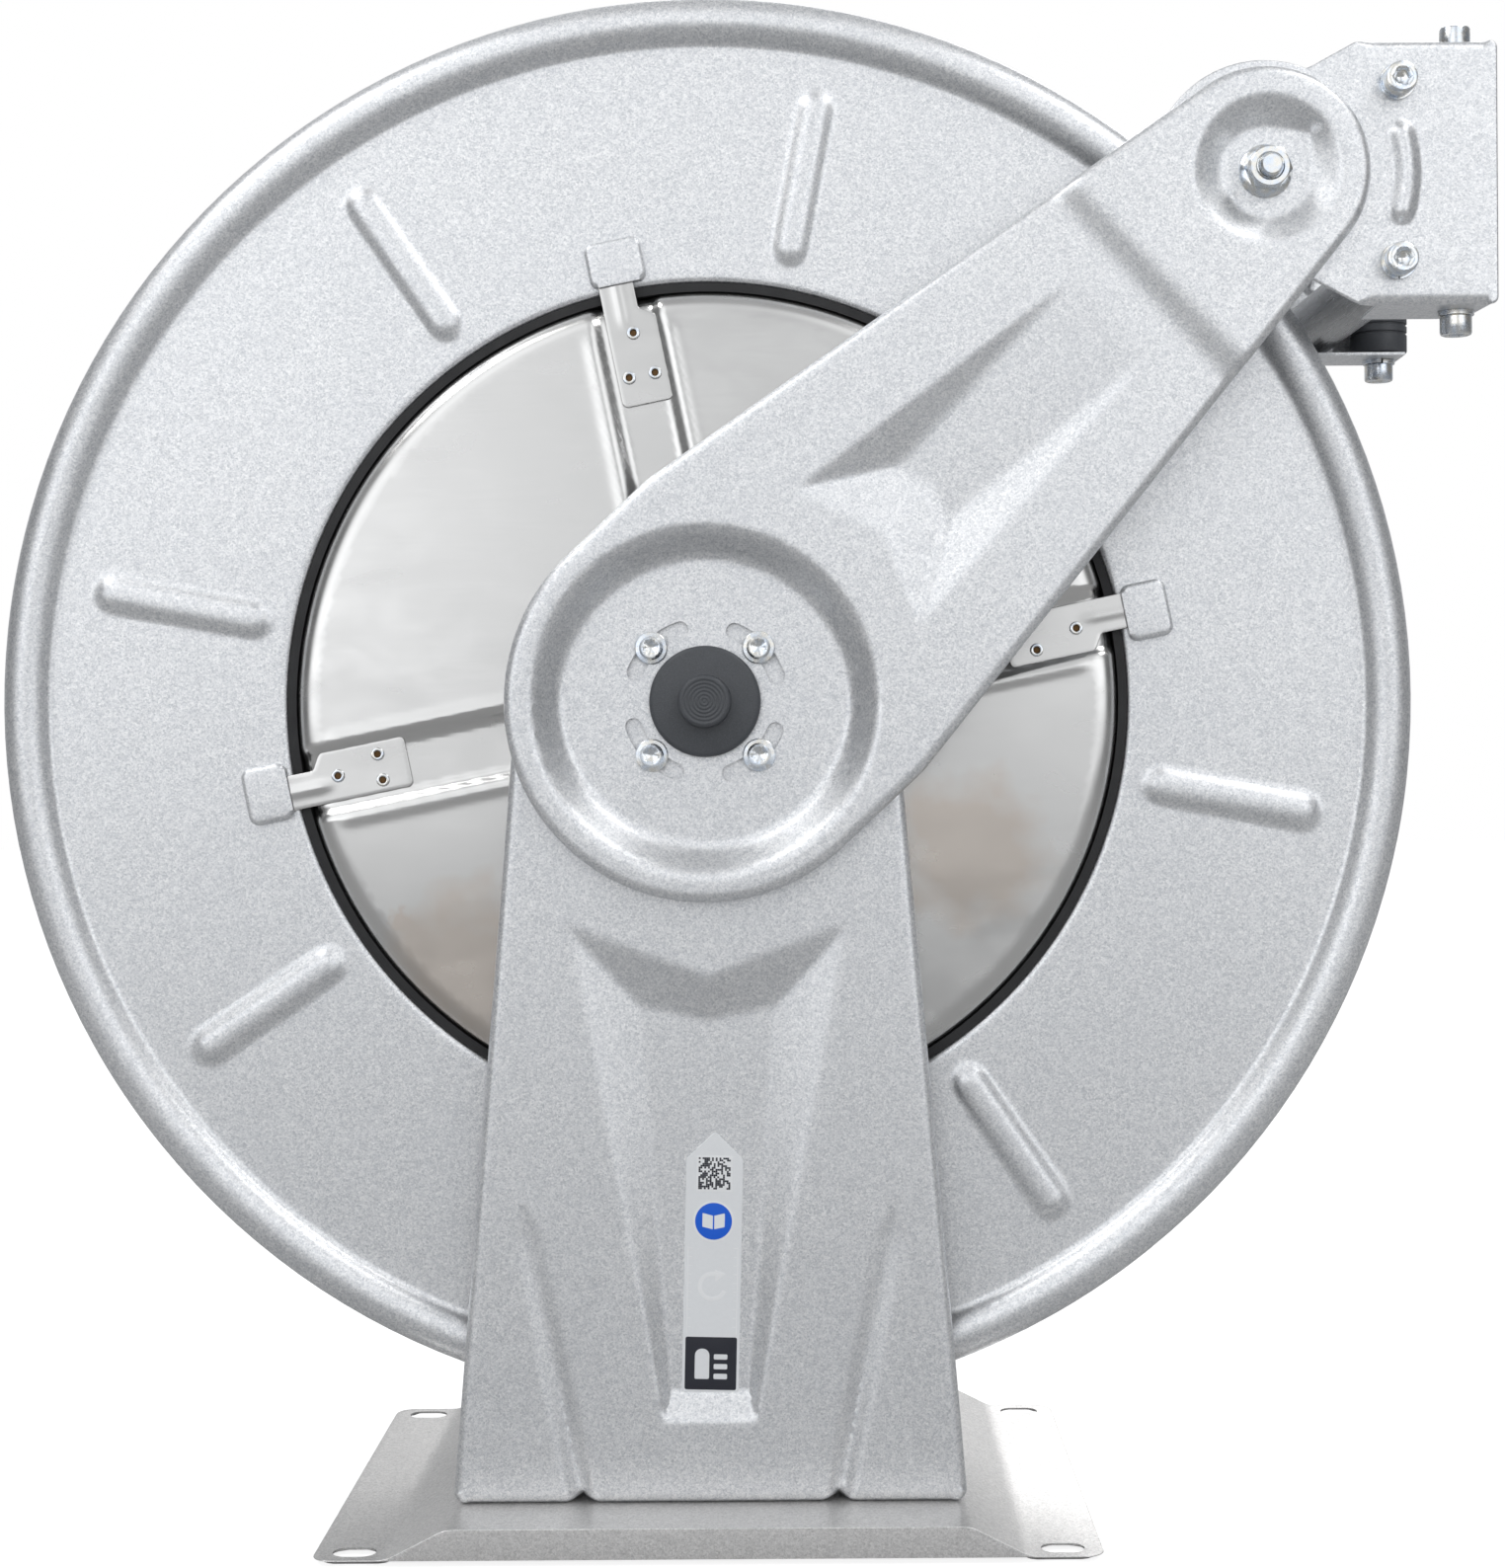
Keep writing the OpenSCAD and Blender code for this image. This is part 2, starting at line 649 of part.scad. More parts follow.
web_screw_circle = 162;
rear_inner_r = 150;
module web_holes(z0, z1) {
  around(6, 30) translate([web_screw_circle, 0, 0]) hole(hub_screw_dia / 2 + 0.3, z0, z1);
}

module rear_disc() {
  color("lightsteelblue") facing_rear() difference() {
    union() {
      side_disc();
      tube(disc_hole_r + 2, rear_inner_r, disc_face - disc_sheet, disc_face);
    }
    web_holes(disc_face - disc_sheet, disc_face);
  }
}

// The outlet elbow leaves the shell here
elbow_angle = 215;
elbow_reach = shell_r + 15;
elbow_r = 14;
module drum_shell() {
  color("silver") facing_front() difference() {
    tube(shell_r, shell_r - shell_sheet, -winding_half, winding_half);
    rotate(elbow_angle) translate([shell_r - 20, 0, port_y]) rotate([0, 90, 0]) cylinder(r = elbow_r + 1.5, h = 40);
  }
}

web_sheet = 2;
web_rib = 3;
module rear_web() {
  back = winding_half - web_sheet;
  color("silver") facing_rear() difference() {
    union() {
      tube(shell_r - shell_sheet - 0.2, bush_r, back, winding_half);
      tube(bush_r + 10, bush_r, back, hub_end);
      around(6, 0) translate([bush_r + 6, -1.5, back - web_rib]) cube([100, 3, web_rib + 0.2]);
    }
    web_holes(back, winding_half);
  }
}

module web_screws() {
  color("gainsboro") facing_rear() around(6, 30) translate([web_screw_circle, 0, disc_face])
    flange_screw([hub_screw_dia, 13.6, 5], disc_sheet + web_sheet + 8);
}

module web_nuts() {
  color("gainsboro") facing_rear() around(6, 30) translate([web_screw_circle, 0, winding_half - web_sheet])
    mirror([0, 0, 1]) flange_nut(hub_screw_dia, 10, 13.6, 6);
}

module front_bush() { color("ivory") facing_front() tube(bush_r, bore_r, case_face - case_sheet, hub_end); }
module rear_bush() { color("ivory") facing_rear() tube(bush_r, bore_r, winding_half - web_sheet, hub_end); }

// ---------------------------------------------------------------- spring case

module pan_section(r, depth, shoulder) {
  square([r - shoulder, depth]);
  square([r, depth - shoulder]);
  translate([r - shoulder, depth - shoulder]) circle(r = shoulder);
}

channel_start = 58;
channel_end = case_r - 3.1;
module case_cover() {
  sunk = channel_depth + case_sheet;
  color("gainsboro") facing_front() difference() {
    union() {
      translate([0, 0, case_rear]) rotate_extrude($fn = 128) difference() {
        pan_section(case_r, case_depth, case_shoulder);
        translate([-cut, -cut]) square([cut, case_depth + 2 * cut]);
        translate([0, -cut]) pan_section(case_r - case_sheet, case_depth - case_sheet + cut,
                                         case_shoulder - case_sheet);
      }
      around(4, cross_turn)
        translate([channel_start - case_sheet, -channel_width / 2 - case_sheet, case_face - sunk])
          cube([channel_end - channel_start + case_sheet, channel_width + 2 * case_sheet, sunk - 0.3]);
    }
    around(4, cross_turn) translate([channel_start, -channel_width / 2, case_face - channel_depth])
      cube([case_r, channel_width, channel_depth + cut]);
    hole(bush_r, case_face - 2 * sunk, case_face);
    around(4, cross_turn) clip_holes(case_face - 3 * sunk);
    around(4, cross_turn + 45) translate([ratchet_rivet_r, 0, 0]) hole(2.5, case_face - case_sheet, case_face);
  }
}

case_back_bore = arbor_dia / 2 + 4;
module case_back() {
  color("silver") facing_front() tube(case_r - case_sheet, case_back_bore, case_rear, case_rear + case_sheet);
}

module seal_ring() {
  color("black") facing_front() tube(disc_hole_r, case_r, disc_face - 7, disc_face - 0.6);
}

clip_sheet = 1.2;
clip_face = case_face - channel_depth;
clip_span = [127 + case_r - 172, 167 + case_r - 172];
clip_side = [-12.5, 9];
tongue_side = [-5.7, 9];
tongue_end = lug_radius + 7;
clip_rivet_spots = [[12, -7], [12, 4], [30, -1.5]];

module clip_holes(z0) {
  for (p = clip_rivet_spots) translate([clip_span[0] + p[0], p[1], 0]) hole(1.75, z0, case_face);
}

module case_clips() {
  color("gainsboro") facing_front() around(4, cross_turn) difference() {
    translate([0, 0, clip_face]) linear_extrude(clip_sheet) {
      polygon(rounded(box_outline(clip_span[0], clip_side[0], clip_span[1], clip_side[1], 3)));
      polygon(rounded(box_outline(clip_span[1] - 8, tongue_side[0], tongue_end, tongue_side[1], 2)));
    }
    clip_holes(clip_face);
  }
}

module clip_rivets() {
  color("white") facing_front() around(4, cross_turn) for (p = clip_rivet_spots)
    translate([clip_span[0] + p[0], p[1], 0]) {
      translate([0, 0, clip_face - case_sheet - 1]) cylinder(r = 1.75, h = clip_sheet + case_sheet + 2);
      translate([0, 0, clip_face + clip_sheet]) cylinder(r = 3, h = 1);
      translate([0, 0, clip_face - case_sheet - 1]) cylinder(r = 3, h = 1);
    }
}

// The mainspring, as half turns with their centres on either side of the axle
spring_inner_r = arbor_dia / 2 + 3;
spring_pitch = (case_r - case_sheet - 4 - spring_inner_r) / spring_turns;
module mainspring() {
  z0 = arbor_span[0] + 1;
  height = arbor_span[1] - arbor_span[0] - 2;
  color("steelblue") facing_front() {
    for (i = [0 : 2 * spring_turns - 1]) {
      r = spring_inner_r + spring_pitch / 4 + i * spring_pitch / 2;
      translate([(i % 2 == 0 ? -1 : 1) * spring_pitch / 4, 0, z0]) rotate(i % 2 == 0 ? 0 : 180)
        rotate_extrude(angle = 180, $fn = 96) translate([r, 0]) square([spring_strip, height]);
    }
    translate([arbor_dia / 2 - 3, -spring_strip / 2, z0]) cube([6 + spring_strip, spring_strip, height]);
    translate([case_r - case_sheet - 5, -spring_strip / 2, z0]) cube([5, spring_strip, height]);
  }
}

// ---------------------------------------------------------------- ratchet and pawl

ratchet_span = [case_face + 2.5, case_face + 7.5];
ratchet_rivet_r = 33;
ratchet_step = 360 / ratchet_teeth;
function polar(r, a) = r * [cos(a), sin(a)];
ratchet_points = [
  for (k = [0 : ratchet_teeth - 1])
    let (a = 270 + k * ratchet_step)
      each concat([polar(ratchet_root_r, a)],
                  [for (s = [1 : 4]) polar(ratchet_root_r + (ratchet_r - ratchet_root_r) * s / 4, a + ratchet_step * s / 4)])
];

module ratchet_wheel() {
  color("dimgray") facing_front() difference() {
    union() {
      translate([0, 0, ratchet_span[0]]) linear_extrude(ratchet_span[1] - ratchet_span[0]) polygon(ratchet_points);
      translate([0, 0, case_face]) cylinder(r = ratchet_rivet_r + 8, h = 3);
      translate([0, 0, case_face]) cylinder(r = bush_r + 4, h = hub_end - case_face);
    }
    hole(bush_r, case_face, hub_end);
    around(4, cross_turn + 45) translate([ratchet_rivet_r, 0, 0]) hole(2.5, case_face, ratchet_span[1]);
  }
}

module ratchet_rivets() {
  color("white") facing_front() around(4, cross_turn + 45) translate([ratchet_rivet_r, 0, 0]) {
    translate([0, 0, case_face - case_sheet]) cylinder(r = 2.5, h = ratchet_span[1] - case_face + case_sheet);
    translate([0, 0, case_face - case_sheet - 1.2]) cylinder(r = 4.5, h = 1.2);
    translate([0, 0, ratchet_span[1]]) cylinder(r = 4.5, h = 1);
  }
}

stud_r = 4;
stud_end = case_face + 1.2;
module pawl_stud() {
  color("dimgray") facing_front() translate([0, -pawl_reach, 0]) difference() {
    union() {
      translate([0, 0, stud_end]) cylinder(r = stud_r, h = upright_back - stud_end);
      translate([0, 0, upright_back - 1.5]) cylinder(r = stud_r + 4, h = 1.5);
    }
    tube(stud_r + cut, stud_r - 0.8, stud_end + 0.5, stud_end + 1.2);
  }
}

module pawl_clip() {
  color("gainsboro") facing_front() translate([0, -pawl_reach, 0]) difference() {
    tube(stud_r + 3, stud_r - 0.8, stud_end + 0.5, stud_end + 1.2);
    translate([0, -1.8, stud_end]) cube([10, 3.6, 2]);
  }
}

pawl_width = 12;
pawl_tip_r = 3;
module pawl() {
  color("dimgray") facing_front() translate([0, -pawl_reach, ratchet_span[0]]) rotate(90 - pawl_lean) {
    thick = ratchet_span[1] - ratchet_span[0];
    difference() {
      union() {
        linear_extrude(thick) polygon([
          [0, -pawl_width / 2], [pawl_length, -pawl_tip_r], [pawl_length, pawl_tip_r], [0, pawl_width / 2]]);
        cylinder(r = pawl_width / 2 + 2, h = thick);
        translate([pawl_length, 0, 0]) cylinder(r = pawl_tip_r, h = thick);
      }
      hole(stud_r + running_gap, 0, thick);
    }
  }
}

coil_wire = 1;
module pawl_spring() {
  color("gainsboro") facing_front() translate([0, -pawl_reach, 0])
    for (z = [ratchet_span[1] + 1.2 : 1.1 : upright_back - 2.2])
      translate([0, 0, z]) rotate_extrude() translate([stud_r + 1, 0]) circle(d = coil_wire, $fn = 16);
}

// ---------------------------------------------------------------- swivel and outlet pipe

swivel_span = [port_y - 15.5, port_y + 15.5];
seal_offset = 11.2;
chamber_half = 8; // half the length of the chamber round the axle's ports
module swivel_body() {
  color("goldenrod") facing_front() difference() {
    union() {
      tube(swivel_dia / 2, bore_r, swivel_span[0], swivel_span[1]);
      rotate(elbow_angle) translate([swivel_dia / 2 - 6, 0, port_y]) rotate([0, 90, 0]) cylinder(r = elbow_r, h = 20);
    }
    tube(bore_r + 3, bore_r - 1, port_y - chamber_half, port_y + chamber_half);
    for (s = [-1, 1]) tube(bore_r + 3, bore_r - 1, port_y + s * seal_offset - 2, port_y + s * seal_offset + 2);
    hole(bore_r, swivel_span[0], swivel_span[1]);
    rotate(elbow_angle) translate([bore_r + 1, 0, port_y]) rotate([0, 90, 0]) cylinder(r = chamber_half - 1.5, h = swivel_dia);
    rotate(elbow_angle) translate([swivel_dia / 2, 0, port_y]) rotate([0, 90, 0]) cylinder(r = pipe_r, h = 40);
  }
}

module swivel_seals() {
  color("black") facing_front() for (s = [-1, 1])
    tube(bore_r + 3, bore_r, port_y + s * seal_offset - 2, port_y + s * seal_offset + 2);
}

pipe_r = 10;
elbow_arm = 20; // from the elbow's corner to its mouth
module outlet_pipe() {
  color("goldenrod") facing_front() rotate(elbow_angle) translate([0, 0, port_y]) difference() {
    union() {
      translate([swivel_dia / 2, 0, 0]) rotate([0, 90, 0]) cylinder(r = pipe_r, h = elbow_reach - swivel_dia / 2);
      translate([shell_r - 24, 0, 0]) rotate([0, 90, 0]) cylinder(r = elbow_r, h = elbow_reach + 14 - shell_r + 24);
      translate([elbow_reach, 0, 0]) rotate([-90, 0, 0]) cylinder(r = elbow_r - 0.5, h = elbow_arm);
    }
    translate([swivel_dia / 2 - cut, 0, 0]) rotate([0, 90, 0])
      cylinder(r = 8, h = elbow_reach - swivel_dia / 2 + cut);
    translate([elbow_reach, 0, 0]) rotate([-90, 0, 0]) cylinder(r = 8, h = elbow_arm + cut);
    translate([elbow_reach, elbow_arm - nipple_socket, 0]) rotate([-90, 0, 0])
      cylinder(d = nipple_dia, h = nipple_socket + cut);
  }
}

nipple_hex = [27, 8]; // across flats, and length
nipple_socket = 10;
module hose_nipple() {
  color("goldenrod") facing_front() rotate(elbow_angle) translate([elbow_reach, elbow_arm - nipple_socket, port_y])
    rotate([-90, 0, 0]) difference() {
      union() {
        cylinder(d = nipple_dia, h = nipple_socket + nipple_hex[1] + nipple_length);
        translate([0, 0, nipple_socket]) hex(nipple_hex[0], nipple_hex[1]);
      }
      hole(7, 0, nipple_socket + nipple_hex[1] + nipple_length);
    }
}

// ---------------------------------------------------------------- guide arm

shoulder_reach = 45;
tangent_angle =
  atan2(-arm_hub_r, arm_reach - shoulder_reach) + asin(arm_tip_r / norm([arm_reach - shoulder_reach, arm_hub_r]));
tip_corner_y = arm_hub_r + tan(tangent_angle) * (arm_reach + arm_tip_r - shoulder_reach);
arm_outline = [
  [-arm_hub_r, -arm_hub_r, arm_hub_r], [shoulder_reach, -arm_hub_r, 30],
  [arm_reach + arm_tip_r, -tip_corner_y, arm_tip_r], [arm_reach + arm_tip_r, tip_corner_y, arm_tip_r],
  [shoulder_reach, arm_hub_r, 30], [-arm_hub_r, arm_hub_r, arm_hub_r]
];
step_reach = [arm_reach - 69.5, arm_reach - 59.5];
bracket_sweep_r = norm([38, bracket_height / 2]) + 2; // the arm's rim stays clear of a tilting bracket here
facet_edge_points = [[100, 0], [85, -37], [arm_reach - 92, -23], [arm_reach - 92, 23], [85, 37]];
facet_floor_points = [[127, 0], [120, -16.5], [arm_reach - 95, -9], [arm_reach - 95, 9], [120, 16.5]];

module arm_side_profile(lowest) {
  back = -arm_hub_r - cut;
  end = arm_reach + arm_tip_r + cut;
  polygon([[back, arm_face], [back, lowest], [end, lowest], [end, tip_face], [step_reach[1], tip_face],
           [step_reach[0], arm_face]]);
}

module arm_sheet_profile() {
  back = -arm_hub_r - cut;
  end = arm_reach + arm_tip_r + cut;
  t = frame_sheet;
  polygon([[back, arm_face], [back, arm_face - t], [step_reach[0] + 1, arm_face - t],
           [step_reach[1] + 1, tip_face - t], [end, tip_face - t], [end, tip_face],
           [step_reach[1], tip_face], [step_reach[0], arm_face]]);
}

module across_arm(half) { rotate([90, 0, 0]) translate([0, 0, -half]) linear_extrude(2 * half) children(); }

module dish(edge_r, floor_r, face, floor_face, hole_r) {
  t = frame_sheet;
  rotate_extrude() polygon([
    [hole_r, floor_face - t], [hole_r, floor_face], [floor_r, floor_face], [edge_r, face], [edge_r + 4, face],
    [edge_r + 4, face - t], [edge_r + 1.5, face - t], [floor_r + 1.5, floor_face - t]]);
}

module guide_arm() {
  rim_face = arm_face - arm_flange;
  difference() {
    union() {
      difference() {
        union() {
          intersection() {
            translate([0, 0, rim_face - cut]) linear_extrude(arm_flange + tip_step + 2 * cut)
              polygon(rounded(arm_outline));
            across_arm(arm_hub_r + cut) arm_sheet_profile();
          }
          intersection() {
            translate([0, 0, rim_face]) linear_extrude(arm_flange + tip_step + cut) difference() {
              polygon(rounded(arm_outline));
              polygon(rounded(inset(arm_outline, frame_sheet)));
            }
            across_arm(arm_hub_r + cut) arm_side_profile(rim_face);
          }
          recess_wall(facet_floor_points, facet_edge_points, arm_face, facet_depth, frame_sheet);
        }
        recess(facet_floor_points, facet_edge_points, arm_face, facet_depth);
        hole(dish_r + 2, rim_face, arm_face);
        translate([arm_reach, 0, rim_face - cut])
          cylinder(r = bracket_sweep_r, h = bracket_face + seat_gap - rim_face + cut);
        translate([arm_reach, 0, 0]) hole(tip_recess_r + 2, rim_face, tip_face);
      }
      dish(dish_r, dish_floor_r, arm_face, dish_floor_face, spigot_dia / 2 + running_gap);
      translate([arm_reach, 0, 0]) dish(tip_recess_r, tip_floor_r, tip_face, tip_floor_face, tie_rod_dia / 2);
    }
    around(4, arm_mid_angle - 45) curved_slot();
  }
}

module curved_slot() {
  z0 = dish_floor_face - frame_sheet - cut;
  height = frame_sheet + 2 * cut;
  translate([0, 0, z0]) {
    rotate(-arm_slot_swing) rotate_extrude(angle = 2 * arm_slot_swing)
      translate([(hub_pcd - hub_slot_width) / 2, 0]) square([hub_slot_width, height]);
    for (a = [-arm_slot_swing, arm_slot_swing]) rotate(a) translate([hub_pcd / 2, 0, 0])
      cylinder(d = hub_slot_width, h = height);
  }
}

module front_arm() { color("silver") facing_front() along_arm() guide_arm(); }
module rear_arm() { color("silver") facing_rear() along_arm() guide_arm(); }

nut_height = 10.5;
module tie_rod() {
  half = tip_floor_face + nut_height + 4;
  color("gainsboro") facing_front() at_pivot() translate([0, 0, -half]) cylinder(d = tie_rod_dia, h = 2 * half);
}

module tie_rod_nuts() {
  color("gainsboro") both_sides() at_pivot() translate([0, 0, tip_floor_face])
    flange_nut(tie_rod_dia, m10_nut_across, m10_flange_dia, nut_height);
}

// ---------------------------------------------------------------- outlet

bracket_half = bracket_height / 2;
level_y = level_roller_spacing / 2;
side_z = bracket_face - bracket_flange + 18.5;
bracket_box_start = 38;
flange_start = 46;
bracket_outline = [
  [bracket_length, -bracket_half, 4], [bracket_length, bracket_half, 4], [bracket_box_start, bracket_half, 8],
  [18.5, bracket_half - 10.6, 6], [0, bracket_half - 9, 0], [0, 9 - bracket_half, 0], [18.5, 10.6 - bracket_half, 6],
  [bracket_box_start, -bracket_half, 8]
];
arc_bead_r = 58;
arc_bead_swing = 19;

module bracket() {
  t = frame_sheet;
  difference() {
    union() {
      translate([0, 0, bracket_back]) linear_extrude(t) {
        polygon(rounded(bracket_outline));
        circle(r = bracket_lobe_r);
      }
      for (s = [0, 1]) mirror([0, s, 0])
        translate([flange_start, bracket_half - t, bracket_face - bracket_flange])
          cube([bracket_length - 4 - flange_start, t, bracket_flange]);
      rotate(-arc_bead_swing) rotate_extrude(angle = 2 * arc_bead_swing)
        translate([arc_bead_r, bracket_face]) intersection() {
          translate([0, -2]) circle(r = 5.4);
          translate([-6, -0.5]) square([12, 6]);
        }
    }
    hole(tie_rod_dia / 2 + running_gap, bracket_back, bracket_face);
    for (s = [-1, 1]) translate([level_roller_x, s * level_y, 0]) hole(4.1, bracket_back, bracket_face);
    for (s = [-1, 1]) translate([side_roller_x, s * bracket_half, side_z]) rotate([90, 0, 0]) hole(4.1, -t, t);
  }
}

module front_bracket() { color("silver") facing_front() at_pivot() bracket(); }
module rear_bracket() { color("silver") facing_rear() at_pivot() bracket(); }

module spacer_tube() {
  color("gainsboro") facing_front() at_pivot()
    tube(tie_rod_dia / 2 + 3, tie_rod_dia / 2 + running_gap, -bracket_back, bracket_back);
}

module axle_bar(half) {
  difference() {
    translate([0, 0, -half]) cylinder(d = roller_axle_dia, h = 2 * half);
    for (s = [0, 1]) mirror([0, 0, s]) translate([0, 0, half - 20]) cylinder(d = 8, h = 20 + cut);
  }
}

side_half = bracket_half - frame_sheet;
module level_axles() {
  color("darkgrey") facing_front() at_pivot() for (s = [-1, 1])
    translate([level_roller_x, s * level_y, 0]) axle_bar(bracket_back);
}

module side_axles() {
  color("darkgrey") facing_front() at_pivot() for (s = [-1, 1])
    translate([side_roller_x, 0, s * side_z]) rotate([90, 0, 0]) axle_bar(side_half);
}

// Places its children on each of the eight screw seats, with z pointing out of the seat
module screw_seats() {
  for (s = [-1, 1]) {
    both_sides() at_pivot() translate([level_roller_x, s * level_y, bracket_face]) children();
    both_sides() at_pivot() translate([side_roller_x, s * bracket_half, side_z]) rotate([-s * 90, 0, 0]) children();
  }
}

module roller_screws() {
  color("gainsboro") screw_seats() translate([0, 0, split_washer[2]])
    socket_screw(m8_head, 16 + frame_sheet + split_washer[2]);
}

module roller_washers() {
  color("gainsboro") screw_seats() difference() {
    tube(split_washer[1] / 2, split_washer[0] / 2, 0, split_washer[2]);
    translate([0, -0.6, -cut]) cube([12, 1.2, split_washer[2] + 2 * cut]);
  }
}

// A roller: two bored end plugs in a tube, with a ring turned near each end
module roller(half, bored_span = 14) {
  r = roller_dia / 2;
  bore = roller_axle_dia / 2 + running_gap;
  difference() {
    translate([0, 0, -half]) cylinder(r = r, h = 2 * half);
    hole(bore, -half, half);
    tube(r - 2.5, bore - 1, bored_span - half, half - bored_span);
    for (s = [-1, 1]) for (k = [9, 13]) tube(r + cut, r - 0.6, s * (half - k) - 0.7, s * (half - k) + 0.7);
  }
}

end_play = 0.3;
module level_roller(s) {
  facing_front() at_pivot() translate([level_roller_x, s * level_y, 0]) roller(bracket_back - end_play);
}
module side_roller(s) {
  facing_front() at_pivot() translate([side_roller_x, 0, s * side_z]) rotate([90, 0, 0]) roller(side_half - end_play);
}
module upper_roller() { color("silver") level_roller(1); }
module lower_roller() { color("silver") level_roller(-1); }
module front_side_roller() { color("black") side_roller(1); }
module rear_side_roller() { color("black") side_roller(-1); }

base_plate();
front_upright();
rear_upright();
foot_screws();
foot_nuts();
label();
front_hub_flange();
rear_hub_flange();
front_hub_screws();
rear_hub_screws();
hub_cap();
axle();
end_washer();
end_screw();
thrust_washers();
circlips();
spring_arbor();
inlet_fitting();
pawl_stud();
pawl_clip();
pawl_spring();
pawl();
front_disc();
rear_disc();
drum_shell();
rear_web();
web_screws();
web_nuts();
case_cover();
case_back();
seal_ring();
case_clips();
clip_rivets();
ratchet_wheel();
ratchet_rivets();
front_bush();
rear_bush();
mainspring();
swivel_body();
swivel_seals();
outlet_pipe();
hose_nipple();
front_arm();
rear_arm();
tie_rod();
tie_rod_nuts();
front_bracket();
rear_bracket();
spacer_tube();
level_axles();
side_axles();
roller_screws();
roller_washers();
upper_roller();
lower_roller();
front_side_roller();
rear_side_roller();
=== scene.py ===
import json
import math

import bmesh
import bpy
import numpy as np
from bpy.props import FloatProperty, FloatVectorProperty, IntProperty, PointerProperty
from mathutils import Matrix, Vector, kdtree
from mathutils.geometry import delaunay_2d_cdt


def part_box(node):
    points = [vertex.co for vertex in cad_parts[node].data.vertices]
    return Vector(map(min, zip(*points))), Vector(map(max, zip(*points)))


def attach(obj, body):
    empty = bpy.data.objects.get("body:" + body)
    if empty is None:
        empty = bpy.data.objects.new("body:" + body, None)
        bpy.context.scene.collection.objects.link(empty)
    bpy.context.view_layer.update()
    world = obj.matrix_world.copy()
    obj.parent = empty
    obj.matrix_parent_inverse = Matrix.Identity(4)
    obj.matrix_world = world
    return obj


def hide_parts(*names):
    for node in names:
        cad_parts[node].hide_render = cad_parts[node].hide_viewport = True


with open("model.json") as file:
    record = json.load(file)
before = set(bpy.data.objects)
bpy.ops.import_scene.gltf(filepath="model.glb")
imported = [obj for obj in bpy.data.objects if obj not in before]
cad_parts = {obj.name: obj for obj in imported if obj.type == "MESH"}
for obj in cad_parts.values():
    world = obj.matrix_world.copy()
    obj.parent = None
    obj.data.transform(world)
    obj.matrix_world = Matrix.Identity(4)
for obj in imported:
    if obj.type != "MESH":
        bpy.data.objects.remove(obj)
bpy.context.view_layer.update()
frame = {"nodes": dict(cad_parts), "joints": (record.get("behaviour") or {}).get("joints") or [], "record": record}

bl_info = {
    "name": "Spring-rewind hose reel",
    "version": (1, 0, 0),
    "blender": (4, 5, 0),
    "location": "View3D > Sidebar > Hose Reel",
    "description": "Pressed, turned and printed pieces of a spring-rewind hose reel, and its studio",
    "category": "Object",
}

MM = 0.001

# ---------------------------------------------------------------- measures taken from the frame


def joint(name):
    return next(j for j in frame["joints"] if j["name"] == name)


def corners(node):
    """Lowest and highest corner of a CAD node, in millimetres."""
    low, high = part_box(node)
    return np.array(low) / MM, np.array(high) / MM


def front_of(node):
    """How far a node reaches to the front, in millimetres from the middle of the drum."""
    return -corners(node)[0][1]


AXIS_Z = joint("drum_turn")["pos_m"][2] / MM


def at_joint(name):
    """A joint's place across the drum's axis, in millimetres."""
    x, _, z = joint(name)["pos_m"]
    return np.array([x / MM, z / MM - AXIS_Z])


PIVOT = at_joint("outlet_tilt")
ARM_REACH = float(np.hypot(*PIVOT))
ARM_ANGLE = math.atan2(PIVOT[1], PIVOT[0])
LEVEL_SEAT = at_joint("upper_roller_spin") - PIVOT
SIDE_REACH = joint("front_side_roller_spin")["pos_m"][0] / MM - PIVOT[0]
SIDE_FACE = -joint("front_side_roller_spin")["pos_m"][1] / MM
DISC_R = corners("front_disc")[1][0]
RIM_TOP = front_of("front_disc")
CASE_R = corners("case_cover")[1][0]
CASE_FACE = front_of("case_cover")
CASE_REAR = -corners("case_cover")[1][1]
UPRIGHT_FACE = front_of("front_upright")
UPRIGHT_HALF = corners("front_upright")[1][0]
UPRIGHT_TOP = corners("front_upright")[1][2] - AXIS_Z
FOOT_Y = corners("front_upright")[0][2] - AXIS_Z
TIP_FACE = front_of("front_arm")
ARM_HUB_R = AXIS_Z - corners("front_arm")[0][2]
CAP_SEAT = -corners("hub_cap")[1][1]
BASE_HALF = corners("base_plate")[1][:2]
BASE_TOP = corners("base_plate")[1][2]
LABEL_FACE = front_of("label")
BRACKET_HALF = corners("front_side_roller")[1][2] - AXIS_Z - PIVOT[1] + 2.8

BRACKET_BOX_START = 38.0
SHEET = 2.5  # of the stand and the arms
ARM_FACE = TIP_FACE - 4.0
BRACKET_FACE = TIP_FACE - 9.1
DISC_FACE = RIM_TOP - 6.0
DISC_SHEET = 1.5
BEAD_R = 10.2
CHANNEL_TURN = math.radians(11.5)
RIB_TURN = 34.3
HUB_PCD = 62.0
WEB_SCREWS_R = 162.0
CLIP_RIVETS = ((12, -7), (12, 4), (30, -1.5))  # from a clip's inner end and its middle
PIVOT_NUT_SEAT = 6.5  # below the arm's tip, and the depth of the recess there

# ---------------------------------------------------------------- settings shown in the sidebar


def length(name, description, size):
    return FloatProperty(name=name, description=description, default=size * MM, min=0.0, unit="LENGTH")


def share(name, description, value):
    return FloatProperty(name=name, description=description, default=value, min=0.0, max=1.0, subtype="FACTOR")


def colour(name, description, value):
    return FloatVectorProperty(
        name=name, description=description, default=value, size=3, min=0.0, max=1.0, subtype="COLOR"
    )


